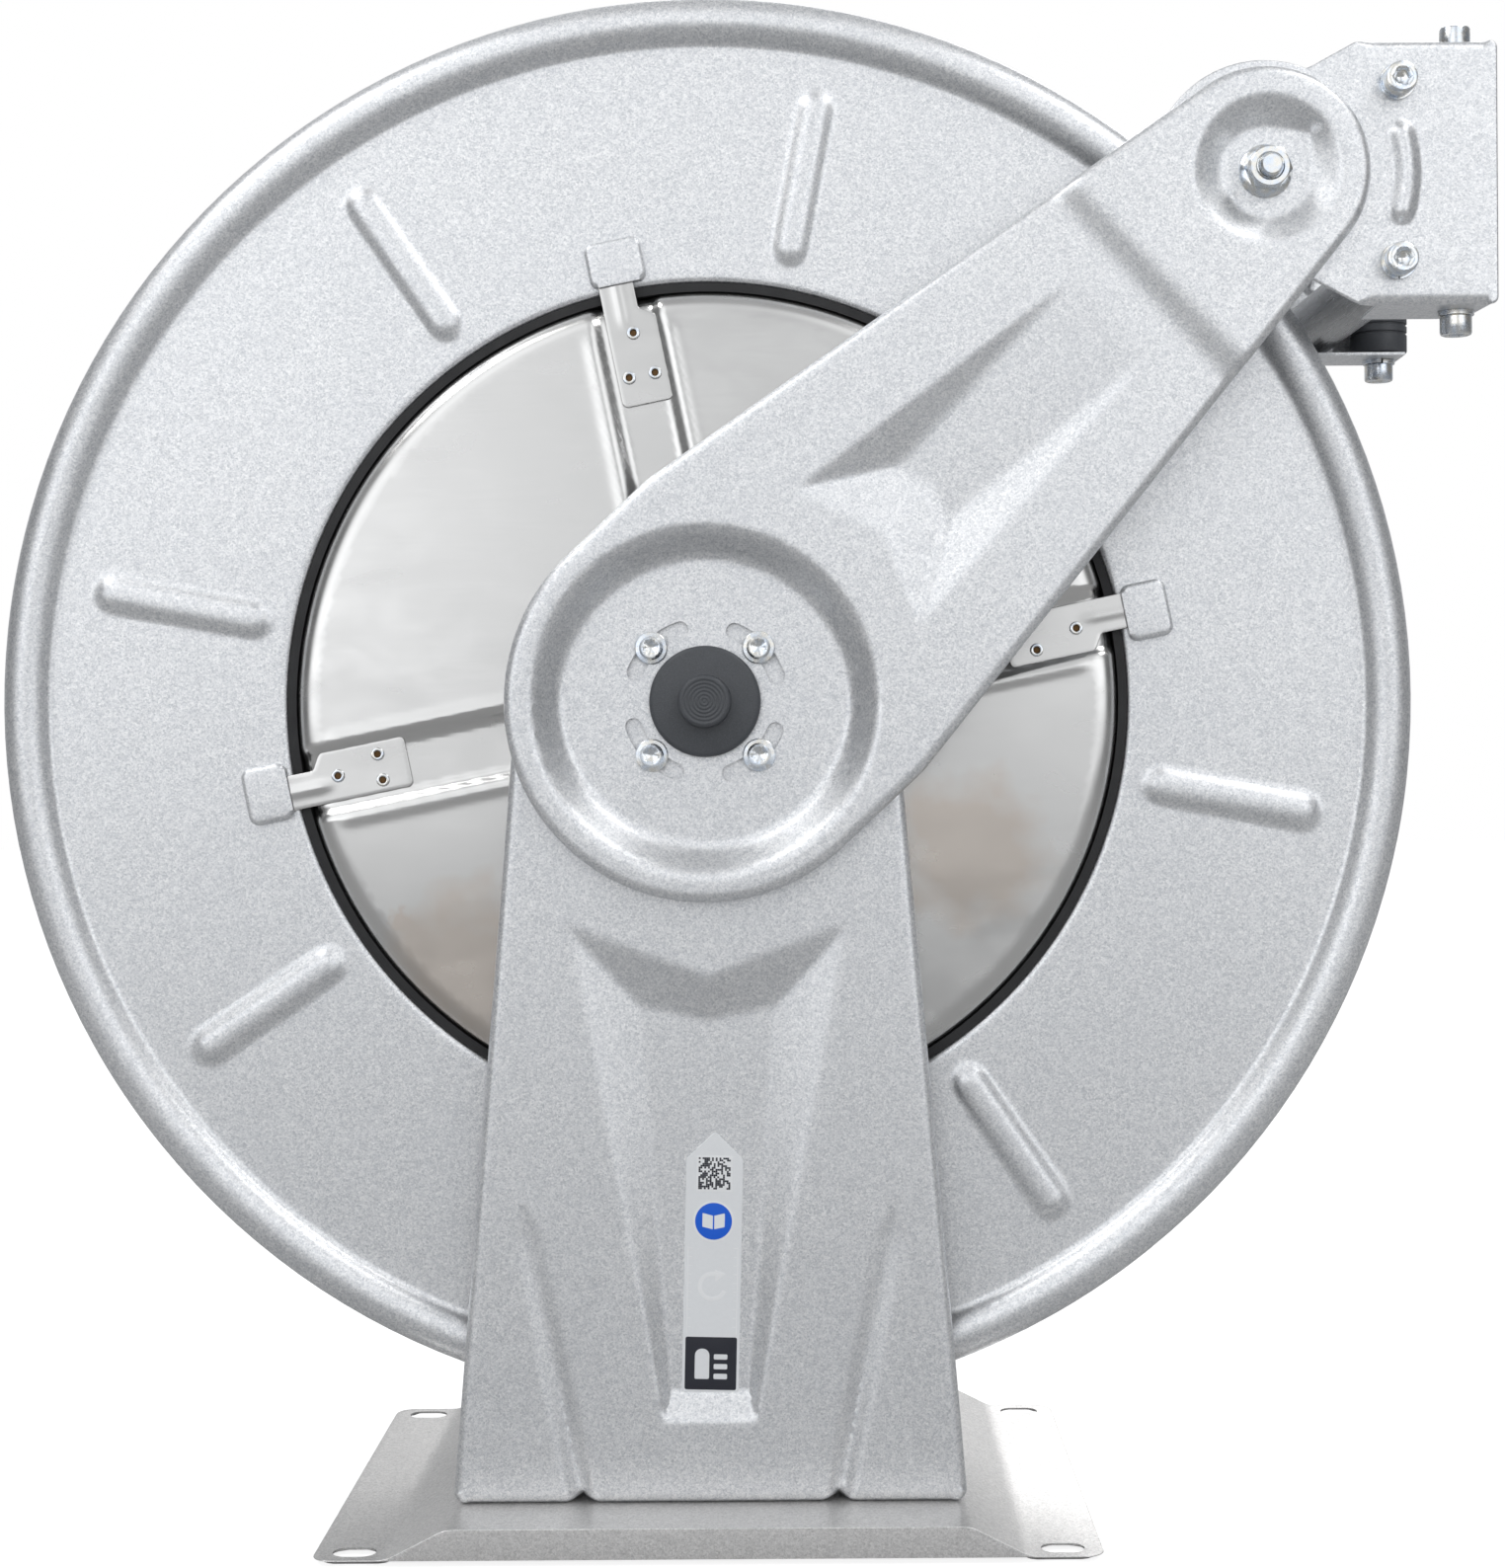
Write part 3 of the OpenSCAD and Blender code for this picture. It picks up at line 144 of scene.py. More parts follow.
class ReelSizes(bpy.types.PropertyGroup):
    """Sizes of the pressings and the turned parts"""

    mesh_step: length("Mesh step", "Spacing of the points in a pressed sheet", 2.0)
    bend_radius: length("Bend radius", "Outer radius of the bends at a pressing's edges", 4.2)
    crease_radius: length("Crease radius", "How softly the pressed facets meet", 2.2)
    dish_radius: length("Dish radius", "Radius where the arm's dish leaves the face", 70.4)
    dish_floor: length("Dish floor", "Radius of the dish's flat floor", 59.5)
    facet_depth: length("Facet depth", "Depth of the faceted recess in the arm", 7.0)
    recess_radius: length("Recess radius", "Radius of the recess round the tie rod", 30.0)
    recess_floor: length("Recess floor", "Radius of the round side of the recess's floor", 18.5)
    channel_depth: length("Channel depth", "Depth of the channel pressed in an upright", 6.0)
    groove_depth: length("Groove depth", "Depth of the grooves at an upright's foot", 3.8)
    rib_width: length("Rib width", "Width of the ribs on the discs", 15.0)
    rib_height: length("Rib height", "Height of the ribs on the discs", 3.0)
    cross_width: length("Cross width", "Width of the channels of the cross in the cover", 27.0)
    cross_depth: length("Cross depth", "Depth of the channels of the cross in the cover", 3.0)
    rib_count: IntProperty(name="Ribs", description="Number of ribs on a disc", default=8, min=1, max=24)


class ReelFinish(bpy.types.PropertyGroup):
    """Colours and gloss of the finishes"""

    paint: colour("Paint", "Silver paint of the stand, the arms and the discs", (0.775, 0.80, 0.84))
    paint_flake: share("Flake", "How much the flakes in the paint differ in brightness", 0.31)
    paint_roughness: share("Paint roughness", "Roughness of the silver paint", 0.4)
    base_paint: colour("Base paint", "Paint of the base plate", (0.70, 0.69, 0.68))
    cover_steel: colour("Cover steel", "Bright sheet of the spring case", (0.66, 0.655, 0.645))
    # Colour of the brown reflection painted on the spring case's cover.
    stain: colour("Stain", "Brown stains on the spring case", (0.56, 0.41, 0.28))
    zinc: colour("Zinc", "Bright plating of the fasteners", (0.78, 0.79, 0.80))
    black_plastic: colour("Black plastic", "Cap and side rollers", (0.056, 0.060, 0.067))
    dark_steel: colour("Dark steel", "Axles, pawl and ratchet", (0.30, 0.30, 0.31))
    label_film: colour("Label film", "Film of the printed label", (0.80, 0.815, 0.83))
    label_blue: colour("Label blue", "Blue ink of the label", (0.004, 0.115, 0.70))
    label_dark: colour("Label dark", "Dark ink of the label", (0.018, 0.02, 0.03))


def size(name):
    """A setting of ReelSizes, in millimetres."""
    return getattr(bpy.context.scene.reel_sizes, name) / MM


def tint(name):
    return tuple(getattr(bpy.context.scene.reel_finish, name))


# ---------------------------------------------------------------- smooth shapes of the pressings


def smooth_min(a, b, k):
    h = np.clip(0.5 + 0.5 * (b - a) / k, 0, 1)
    return b + (a - b) * h - k * h * (1 - h)


def smooth_max(a, b, k):
    return -smooth_min(-a, -b, k)


def slope(x, foot, top, rise, soft):
    """Height that climbs from 0 at foot to rise at top, with soft ends."""
    climb = (x - foot) / (top - foot) * rise
    return smooth_min(smooth_max(climb, 0.0 * climb, soft), rise + 0.0 * climb, soft)


def corner_arc(before, corner, after, radius, step):
    """Points of a rounded corner, or the corner itself."""
    p = np.array(corner, float)
    a, b = np.array(before, float) - p, np.array(after, float) - p
    a, b = a / np.hypot(*a), b / np.hypot(*b)
    half = math.acos(np.clip(np.dot(a, b), -1, 1)) / 2
    if radius <= 0 or half > math.pi / 2 - 1e-3:
        return [p]
    centre = p + (a + b) / np.hypot(*(a + b)) * radius / math.sin(half)
    start = p + a * radius / math.tan(half) - centre
    turn = (math.pi - 2 * half) * (1 if a[0] * b[1] - a[1] * b[0] < 0 else -1)
    count = max(3, math.ceil(abs(turn) * radius / min(step, max(0.4, radius * 0.2))))
    angles = math.atan2(start[1], start[0]) + turn * np.linspace(0, 1, count + 1)
    return list(centre + radius * np.column_stack([np.cos(angles), np.sin(angles)]))


def outline(points, step):
    """A counter-clockwise outline of (x, y, corner radius), with arcs, filled in with points every step."""
    n = len(points)
    found = []
    for i, (x, y, radius) in enumerate(points):
        before, after = points[i - 1], points[(i + 1) % n]
        found += corner_arc(before[:2], (x, y), after[:2], radius, step)
    return filled_in(np.array(found), step)


def box_loop(x0, y0, x1, y1, radius=0.3, step=3.0):
    return outline([(x0, y0, radius), (x1, y0, radius), (x1, y1, radius), (x0, y1, radius)], step)


def filled_in(loop, step):
    """The closed loop with its long sides divided, and without repeated points."""
    found = []
    for p, q in zip(loop, np.roll(loop, -1, 0)):
        gap = np.hypot(*(q - p))
        if gap < 0.02:
            continue
        count = max(1, math.ceil(gap / step - 0.01))
        found += [p + (q - p) * k / count for k in range(count)]
    return np.array(found)


def circle(radius, step, centre=(0, 0), first=0.0):
    count = max(12, math.ceil(2 * math.pi * radius / step))
    angles = first + np.arange(count) * 2 * math.pi / count
    return np.array(centre) + radius * np.column_stack([np.cos(angles), np.sin(angles)])


def inward_normals(loop):
    along = np.roll(loop, -1, 0) - np.roll(loop, 1, 0)
    along /= np.hypot(along[:, 0], along[:, 1])[:, None]
    return np.column_stack([-along[:, 1], along[:, 0]])


def inside(points, loop):
    """Whether each point lies within a closed loop."""
    x0, y0 = loop[:, 0], loop[:, 1]
    x1, y1 = np.roll(x0, -1), np.roll(y0, -1)
    rise = np.where(np.abs(y1 - y0) < 1e-12, 1e-12, y1 - y0)
    found = []
    for part in np.array_split(points, max(1, len(points) // 4000)):
        x, y = part[:, :1], part[:, 1:2]
        crossed = ((y0 > y) != (y1 > y)) & (x < (x1 - x0) * (y - y0) / rise + x0)
        found.append(crossed.sum(1) % 2 == 1)
    return np.concatenate(found)


def grid_within(loop, kept_clear, step):
    """Staggered grid points inside loop, clear of the points in kept_clear."""
    low, high = loop.min(0), loop.max(0)
    rows = np.arange(low[1], high[1], step * 0.866)
    columns = np.arange(low[0], high[0], step)
    x, y = np.meshgrid(columns, rows)
    x[1::2] += step / 2
    points = np.column_stack([x.ravel(), y.ravel()])
    points = points[inside(points, loop)]
    tree = kdtree.KDTree(len(kept_clear))
    for i, p in enumerate(kept_clear):
        tree.insert((p[0], p[1], 0), i)
    tree.balance()
    clear = [tree.find((p[0], p[1], 0))[2] > 0.62 * step for p in points]
    return points[np.array(clear, bool)]


def pressed_sheet(loop, height, base_z, depth, bend, holes=(), creases=(), step=None):
    """Outer surface of a pressing: a flange round loop, a bend, and a face with height(x, y) over base_z.
    depth and bend are the flange's depth and the bend's radius at each point of loop."""
    step = step or size("mesh_step")
    depth, bend = np.broadcast_to(depth, len(loop)), np.broadcast_to(bend, len(loop))
    normals = inward_normals(loop)
    inner = loop + normals * bend[:, None]
    face = base_z + height(inner[:, 0], inner[:, 1])
    rings = [np.column_stack([loop, np.minimum(base_z - depth, face - bend)])]
    for angle in np.linspace(0, math.pi / 2, 7)[:-1]:
        moved = loop + normals * (bend * (1 - math.cos(angle)))[:, None]
        rings.append(np.column_stack([moved, face - bend + bend * math.sin(angle)]))
    loops = [inner, *holes]
    edges, flat = [], []
    for part in loops:
        first = sum(len(p) for p in flat)
        flat.append(part)
        edges += [(first + i, first + (i + 1) % len(part)) for i in range(len(part))]
    flat += list(creases)
    flat.append(grid_within(inner, np.concatenate(flat), step))
    flat = np.concatenate(flat)
    _, _, triangles, origins, _, _ = delaunay_2d_cdt([Vector(p) for p in flat], edges, [], 0, 1e-6)
    first_of = np.array([o[0] if o else -1 for o in origins])
    triangles = first_of[np.array(triangles)]
    triangles = triangles[(triangles >= 0).all(1)]
    middles = flat[triangles].mean(1)
    side, other = flat[triangles[:, 1]] - flat[triangles[:, 0]], flat[triangles[:, 2]] - flat[triangles[:, 0]]
    kept = inside(middles, inner) & (np.abs(side[:, 0] * other[:, 1] - side[:, 1] * other[:, 0]) > 1e-3)
    for hole in holes:
        kept &= ~inside(middles, hole)
    n, m = len(loop), len(rings)
    points = np.concatenate([*rings, np.column_stack([flat, base_z + height(flat[:, 0], flat[:, 1])])])
    faces = [
        (k * n + i, k * n + (i + 1) % n, (k + 1) * n + (i + 1) % n, (k + 1) * n + i)
        for k in range(m) for i in range(n)
    ]
    faces += [tuple(int(v) + m * n for v in t) for t in triangles[kept]]
    return points, faces


def polar_sheet(path, angles, lift):
    """A sheet of revolution through path, rows of (radius, z), with lift(x, y, z) added to z."""
    cos, sin = np.cos(angles), np.sin(angles)
    rows = []
    for radius, z in path:
        x, y = radius * cos, radius * sin
        rows.append(np.column_stack([x, y, z + lift(x, y, z)]))
    n = len(angles)
    faces = [
        ((k + 1) * n + i, (k + 1) * n + (i + 1) % n, k * n + (i + 1) % n, k * n + i)
        for k in range(len(path) - 1) for i in range(n)
    ]
    return np.concatenate(rows), faces


def turned(rings, segments=48):
    """A closed turned shape from (radius, z) rings, bottom first; either may be a function of the angle."""
    angles = np.arange(segments) * 2 * math.pi / segments
    rows = []
    for radius, z in rings:
        r = radius(angles) if callable(radius) else np.full(segments, float(radius))
        h = z(angles) if callable(z) else np.full(segments, float(z))
        rows.append(np.column_stack([r * np.cos(angles), r * np.sin(angles), h]))
    faces = [
        (k * segments + i, k * segments + (i + 1) % segments,
         (k + 1) * segments + (i + 1) % segments, (k + 1) * segments + i)
        for k in range(len(rings) - 1) for i in range(segments)
    ]
    return np.concatenate(rows), faces


def hexagon(across):
    return lambda a: across / 2 / np.cos((a + math.pi / 6) % (math.pi / 3) - math.pi / 6)


def star(radius, lobe):
    return lambda a: radius + lobe * np.cos(6 * a)


def chamfer(across, height, fall=0.62):
    """Height of a hexagon's chamfered end towards each angle."""
    side = hexagon(across)
    return lambda a: height - np.maximum(side(a) - across / 2 + 0.3, 0) * fall


# ---------------------------------------------------------------- from shapes to pieces


def facing_front(points):
    p = np.asarray(points, float)
    return np.column_stack([p[:, 0], -p[:, 2], AXIS_Z + p[:, 1]])


def facing_rear(points):
    p = np.asarray(points, float)
    return np.column_stack([p[:, 0], p[:, 2], AXIS_Z + p[:, 1]])


def turned_by(points, angle, centre=(0, 0)):
    """Points turned about the drum's axis, then moved to centre."""
    p = np.array(points, float)
    c, s = math.cos(angle), math.sin(angle)
    x, y = p[:, 0].copy(), p[:, 1].copy()
    p[:, 0], p[:, 1] = c * x - s * y + centre[0], s * x + c * y + centre[1]
    return p


def mesh_of(name, points, faces, flipped=False, merge=0.004):
    """A clean mesh in metres from points in millimetres."""
    mesh = bpy.data.meshes.new(name)
    faces = [f[::-1] for f in faces] if flipped else faces
    mesh.from_pydata((np.asarray(points) * MM).tolist(), [], faces)
    made = bmesh.new()
    made.from_mesh(mesh)
    bmesh.ops.remove_doubles(made, verts=made.verts, dist=merge * MM)
    bmesh.ops.dissolve_degenerate(made, edges=made.edges, dist=merge * MM / 2)
    bmesh.ops.delete(made, geom=[v for v in made.verts if not v.link_faces], context="VERTS")
    made.to_mesh(mesh)
    made.free()
    return mesh


def applied(piece):
    """Turns the piece's modifiers into plain mesh."""
    bpy.context.view_layer.update()
    graph = bpy.context.evaluated_depsgraph_get()
    mesh = bpy.data.meshes.new_from_object(
        piece.evaluated_get(graph), preserve_all_data_layers=True, depsgraph=graph)
    piece.modifiers.clear()
    old, piece.data = piece.data, mesh
    mesh.name = piece.name
    bpy.data.meshes.remove(old)
    return piece


def new_object(name, mesh):
    piece = bpy.data.objects.new(name, mesh)
    bpy.context.scene.collection.objects.link(piece)
    return piece


def thickened(piece, thickness):
    """Gives an outer surface its wall, on its inner side."""
    wall = piece.modifiers.new("Wall", "SOLIDIFY")
    wall.thickness = thickness * MM
    wall.offset = -1
    wall.use_even_offset = True
    wall.thickness_clamp = 1.2
    return applied(piece)


def shaded(piece, angle=38):
    piece.data.shade_smooth()
    piece.data.set_sharp_from_angle(angle=math.radians(angle))
    return piece


def finished(piece, body, finish, *nodes, slot=None, angle=38):
    """Shades a piece, gives it its body and its finish, and hides the CAD nodes that it stands for."""
    if angle:
        shaded(piece, angle)
    piece.data.materials.clear()
    piece.data.materials.append(finish_named(finish))
    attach(piece, body)
    if nodes:
        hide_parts(*nodes)
    return piece


def both_pressings(part, points, faces, body):
    """The front pressing and its mirrored twin at the rear, in silver paint."""
    for side, place in (("front_", facing_front), ("rear_", facing_rear)):
        piece = new_object(side + part + "_pressing", mesh_of(side + part, place(points), faces, place is facing_rear))
        finished(thickened(piece, SHEET), body, "silver_paint", side + part)


def joined(name, meshes):
    """One object from several meshes, which are removed."""
    made = bmesh.new()
    for mesh in meshes:
        made.from_mesh(mesh)
    whole = bpy.data.meshes.new(name)
    made.to_mesh(whole)
    made.free()
    for mesh in meshes:
        bpy.data.meshes.remove(mesh)
    return new_object(name, whole)


# ---------------------------------------------------------------- procedural finishes


class Nodes:
    """A node tree under construction."""

    def __init__(self, tree):
        self.tree = tree

    def put(self, value, socket):
        """Links a socket to another one, or gives it a plain value."""
        if isinstance(value, bpy.types.NodeSocket):
            self.tree.links.new(value, socket)
        elif isinstance(value, tuple) and len(value) == 3 and socket.type == "RGBA":
            socket.default_value = (*value, 1.0)
        else:
            socket.default_value = value

    def add(self, kind, inputs=(), **settings):
        made = self.tree.nodes.new(kind)
        for name, value in settings.items():
            setattr(made, name, value)
        for name, value in dict(inputs).items():
            self.put(value, made.inputs[name])
        return made

    def out(self, kind, inputs=(), **settings):
        return self.add(kind, inputs, **settings).outputs[0]

    def math(self, operation, *values):
        return self.out("ShaderNodeMath", dict(enumerate(values)), operation=operation)

    def ranged(self, value, low, high, to_low, to_high, **settings):
        ends = {"Value": value, "From Min": low, "From Max": high, "To Min": to_low, "To Max": to_high}
        return self.add("ShaderNodeMapRange", ends, **settings).outputs["Result"]


class Finish(Nodes):
    """One procedural material on object coordinates."""

    def __init__(self, name, roughness=0.5, metallic=0.0):
        self.material = bpy.data.materials.new("reel_" + name)
        self.material.use_nodes = True
        super().__init__(self.material.node_tree)
        self.tree.nodes.clear()
        self.shader = self.add("ShaderNodeBsdfPrincipled", {"Metallic": metallic, "Roughness": roughness})
        self.add("ShaderNodeOutputMaterial", {"Surface": self.shader.outputs["BSDF"]})
        self.place = self.add("ShaderNodeTexCoord").outputs["Object"]

    def set(self, **values):
        for name, value in values.items():
            self.put(value, self.shader.inputs[name.replace("_", " ")])

    def stretched(self, scale):
        """Object coordinates for a texture drawn out by scale."""
        return self.out("ShaderNodeMapping", {"Vector": self.place, "Scale": scale}, vector_type="TEXTURE")

    def noise(self, grain, detail=2.0, place=None, distortion=0.0):
        """Soft noise whose lumps are about grain millimetres wide."""
        inputs = {
            "Vector": place or self.place, "Scale": 1 / (grain * MM), "Detail": detail, "Distortion": distortion}
        return self.add("ShaderNodeTexNoise", inputs).outputs["Fac"]

    def flakes(self, grain):
        """A random value for each flake of about grain millimetres."""
        cells = self.add("ShaderNodeTexVoronoi", {"Vector": self.place, "Scale": 1 / (grain * MM)})
        return self.add("ShaderNodeSeparateColor", {"Color": cells.outputs["Color"]}).outputs["Red"]

    def mixed(self, share_of_b, a, b):
        return self.add("ShaderNodeMix", {0: share_of_b, 6: a, 7: b}, data_type="RGBA").outputs[2]

    def spot(self, centre, radius, ragged=0.5):
        """1 inside a ragged spot round centre, 0 outside; centre and radius are in millimetres."""
        middle = [c * MM for c in centre]
        apart = self.add("ShaderNodeVectorMath", {0: self.place, 1: middle}, operation="DISTANCE")
        far = self.math("MULTIPLY", apart.outputs["Value"], 1 / (radius * MM))
        far = self.math("ADD", far, self.math("MULTIPLY", self.noise(radius * 0.45, 4), ragged))
        return self.ranged(far, 0.5 + ragged * 0.5, 1.0 + ragged * 0.5, 1.0, 0.0)

    def bumps(self, *layers):
        """Bumps from (height, depth in millimetres) layers."""
        below = {}
        for height, depth in layers:
            normal = self.out("ShaderNodeBump", {"Strength": 1.0, "Distance": depth * MM, "Height": height, **below})
            below = {"Normal": normal}
        self.set(**below)


def scaled(rgb, factor):
    return tuple(min(1.0, c * factor) for c in rgb)


def silver_paint(name, rgb, flake=1.0):
    """Metallic paint: fine bright and dark flakes in a slightly wavy satin coat."""
    roughness = bpy.context.scene.reel_finish.paint_roughness
    spread = bpy.context.scene.reel_finish.paint_flake * flake
    f = Finish(name, roughness, 0.86)
    fine, coarse = f.flakes(0.45), f.flakes(0.9)
    grains = f.math("ADD", f.math("MULTIPLY", fine, 0.55), f.math("MULTIPLY", coarse, 0.45))
    body = f.mixed(grains, scaled(rgb, 1 - spread), scaled(rgb, 1 + spread))
    f.set(Base_Color=f.mixed(f.ranged(f.noise(38, 3), 0.3, 0.7, 0.0, 0.12), body, scaled(rgb, 0.86)))
    f.set(Roughness=f.ranged(f.noise(3.0, 3), 0.3, 0.7, roughness - 0.05, roughness + 0.05))
    f.bumps((f.noise(2.6, 2), 0.010), (fine, 0.016))
    return f.material


def cover_steel(name):
    """Bright rolled sheet with faint rolling lines and wiped smears, and three brown patches that are painted
    reflections.
    """
    rgb = tint("cover_steel")
    f = Finish(name, 0.2, 1.0)
    lines = f.noise(1.2, 3, f.stretched((18, 1, 1)))
    smears = f.noise(34, 4, f.stretched((1, 1, 0.5)), 0.6)
    # Painted reflection: three ragged brown patches stand for warm reflections in the polished cover.
    reflection_patches = 0.0
    for x, z, radius, ragged in ((-96, -112, 42, 1.1), (108, -62, 40, 1.2), (-127, -91, 7, 1.6)):
        reflection_patches = f.math("MAXIMUM", reflection_patches, f.spot((x, -62, AXIS_Z + z), radius, ragged))
    body = f.mixed(f.ranged(lines, 0.3, 0.7, 0.0, 0.3), rgb, scaled(rgb, 0.95))
    body = f.mixed(f.ranged(smears, 0.5, 0.75, 0.0, 0.16), body, scaled(rgb, 1.12))
    # Painted reflection: the patches tint the steel brown.
    body = f.mixed(f.math("MULTIPLY", reflection_patches, 0.34), body, tint("stain"))
    f.set(Base_Color=body)
    f.set(Roughness=f.ranged(smears, 0.35, 0.75, 0.2, 0.3))
    f.bumps((f.noise(70, 2), 0.25), (lines, 0.0006))
    return f.material


def zinc(name, roughness=0.2):
    """Bright zinc with faint blue and straw tints and fine handling marks."""
    red, green, blue = tint("zinc")
    f = Finish(name, roughness, 1.0)
    bluish, straw = (red * 0.9, green * 0.97, min(1, blue * 1.07)), (red * 1.05, green * 1.01, blue * 0.93)
    f.set(Base_Color=f.mixed(f.ranged(f.noise(4.0, 3), 0.35, 0.65, 0.0, 1.0), bluish, straw))
    f.set(Roughness=f.ranged(f.noise(1.1, 4), 0.3, 0.7, roughness - 0.06, roughness + 0.12))
    f.bumps((f.noise(0.8, 3), 0.004))
    return f.material


def machined(name, rgb, roughness=0.32, metallic=1.0):
    """Turned metal with fine tool lines and a film of oil."""
    f = Finish(name, roughness, metallic)
    lines = f.noise(0.5, 2, f.stretched((1, 30, 1)))
    film = f.noise(14, 4)
    f.set(Base_Color=f.mixed(f.ranged(film, 0.4, 0.7, 0.0, 0.5), rgb, scaled(rgb, 0.7)))
    f.set(Roughness=f.ranged(lines, 0.3, 0.7, roughness - 0.08, roughness + 0.1))
    f.bumps((lines, 0.004))
    return f.material


def moulded(name, rgb, roughness=0.45, grain=0.35):
    """Moulded plastic or rubber: an eroded grain with slightly greyer high spots."""
    f = Finish(name, roughness)
    pores = f.noise(grain, 3)
    worn = f.noise(9, 4)
    body = f.mixed(f.ranged(pores, 0.4, 0.7, 0.0, 0.6), rgb, scaled(rgb, 1.7))
    f.set(Base_Color=f.mixed(f.ranged(worn, 0.5, 0.75, 0.0, 0.5), body, scaled(rgb, 1.4)))
    f.set(Roughness=f.ranged(worn, 0.3, 0.7, roughness - 0.06, roughness + 0.1))
    f.bumps((pores, 0.03))
    return f.material


def cast(name, rgb):
    """Rough metal with a mottled skin."""
    f = Finish(name, 0.5, 0.9)
    skin = f.noise(1.4, 5)
    f.set(Base_Color=f.mixed(f.ranged(skin, 0.3, 0.7, 0.0, 1.0), scaled(rgb, 0.82), rgb))
    f.set(Roughness=f.ranged(f.noise(5, 2), 0.3, 0.7, 0.42, 0.58))
    f.bumps((skin, 0.05))
    return f.material


def printed(name, rgb, roughness=0.32):
    """Ink or film with the faint orange peel of a vinyl label."""
    f = Finish(name, roughness)
    f.set(Base_Color=f.mixed(f.ranged(f.noise(1.5, 3), 0.3, 0.7, 0.0, 0.12), rgb, scaled(rgb, 0.8)))
    f.set(Roughness=f.ranged(f.noise(6, 2), 0.3, 0.7, roughness - 0.04, roughness + 0.06))
    f.bumps((f.noise(2.2, 2), 0.012))
    return f.material


def make_finishes():
    """The material of each of the record's slots, and of the inks."""
    return {
        "silver_paint": silver_paint("silver_paint", tint("paint")),
        "base_paint": silver_paint("base_paint", tint("base_paint"), 0.8),
        "case_steel": cover_steel("case_steel"),
        "zinc": zinc("zinc"),
        "dark_steel": machined("dark_steel", tint("dark_steel")),
        "cast_hub": silver_paint("cast_hub", scaled(tint("paint"), 0.8)),
        "spring_steel": machined("spring_steel", (0.13, 0.17, 0.26), 0.26),
        "black_plastic": moulded("black_plastic", tint("black_plastic")),
        "black_rubber": moulded("black_rubber", (0.012, 0.012, 0.013), 0.6, 0.6),
        "bush_plastic": moulded("bush_plastic", (0.72, 0.70, 0.62), 0.4, 0.5),
        # Painted shade: the rollers' zinc is darkened to grey, standing for the shade and dark reflections round them.
        "roller_steel": machined("roller_steel", (0.36, 0.365, 0.375), 0.3),
        "brass": machined("brass", (0.72, 0.52, 0.22), 0.28),
        "label_film": printed("label_film", tint("label_film")),
        "label_blue": printed("label_blue", tint("label_blue")),
        "label_dark": printed("label_dark", tint("label_dark")),
        "label_white": printed("label_white", (0.86, 0.87, 0.88)),
        "rivet_stain": cast("rivet_stain", (0.14, 0.08, 0.035)),
    }


def finish_named(name):
    return bpy.data.materials["reel_" + name]


# ---------------------------------------------------------------- what repeats, by geometry nodes


class Tree(Nodes):
    """A geometry node tree with named inputs, of which the last is its finish."""

    def __init__(self, name, inputs):
        super().__init__(bpy.data.node_groups.new(name, "GeometryNodeTree"))
        sockets = self.tree.interface
        sockets.new_socket("Geometry", in_out="OUTPUT", socket_type="NodeSocketGeometry")
        for socket, kind in (("Geometry", "Geometry"), *inputs, ("Finish", "Material")):
            sockets.new_socket(socket, in_out="INPUT", socket_type="NodeSocket" + kind)
        self.given = self.add("NodeGroupInput").outputs

    def end(self, geometry):
        solid = self.out("GeometryNodeRealizeInstances", {"Geometry": geometry})
        painted = self.out("GeometryNodeSetMaterial", {"Geometry": solid, "Material": self.given["Finish"]})
        self.add("NodeGroupOutput", {"Geometry": painted})

    def seated(self, geometry):
        """Turns what was built round the origin to its facing and moves it to its seat."""
        return self.out("GeometryNodeTransform", {
            "Geometry": geometry, "Rotation": self.given["Facing"], "Translation": self.given["Seat"]})


def ring_tree():
    """Copies of a piece round a circle: each leans, stands on the circle, and the circle faces its seat."""
    t = Tree("Ring of copies", [
        ("Count", "Int"), ("Radius", "Float"), ("First angle", "Float"), ("Lean", "Vector"), ("Facing", "Vector"),
        ("Seat", "Vector")])
    given = t.given
    leaning = t.out("GeometryNodeTransform", {"Geometry": given["Geometry"], "Rotation": given["Lean"]})
    turn = t.math("MULTIPLY", t.math("DIVIDE", math.tau, given["Count"]), t.out("GeometryNodeInputIndex"))
    across = t.math("MULTIPLY", t.math("COSINE", turn), given["Radius"])
    up = t.math("MULTIPLY", t.math("SINE", turn), given["Radius"])
    place = t.out("ShaderNodeCombineXYZ", {"X": across, "Y": up})
    spots = t.out("GeometryNodePoints", {"Count": given["Count"], "Position": place})
    turned_to = t.out("ShaderNodeCombineXYZ", {"Z": turn})
    copies = t.out("GeometryNodeInstanceOnPoints", {"Points": spots, "Instance": leaning, "Rotation": turned_to})
    first = t.out("ShaderNodeCombineXYZ", {"Z": given["First angle"]})
    ring = t.out("GeometryNodeTransform", {"Geometry": copies, "Rotation": first})
    t.end(t.seated(ring))


def dot_tree():
    """Square dots on a square grid, of which a seeded share is left out."""
    t = Tree("Dotted square", [("Side", "Float"), ("Dots", "Int"), ("Share", "Float"), ("Seed", "Int")])
    given = t.given
    spots = t.out("GeometryNodeMeshGrid", {
        "Size X": given["Side"], "Size Y": given["Side"], "Vertices X": given["Dots"], "Vertices Y": given["Dots"]})
    chance = t.add(
        "FunctionNodeRandomValue", {"Probability": given["Share"], "Seed": given["Seed"]}, data_type="BOOLEAN")
    dot_side = t.math("DIVIDE", given["Side"], given["Dots"])
    dot = t.out("GeometryNodeMeshGrid", {"Size X": dot_side, "Size Y": dot_side, "Vertices X": 2, "Vertices Y": 2})
    chosen = next(o for o in chance.outputs if o.enabled and o.type == "BOOLEAN")
    dots = t.out("GeometryNodeInstanceOnPoints", {"Points": spots, "Instance": dot, "Selection": chosen})
    t.end(dots)


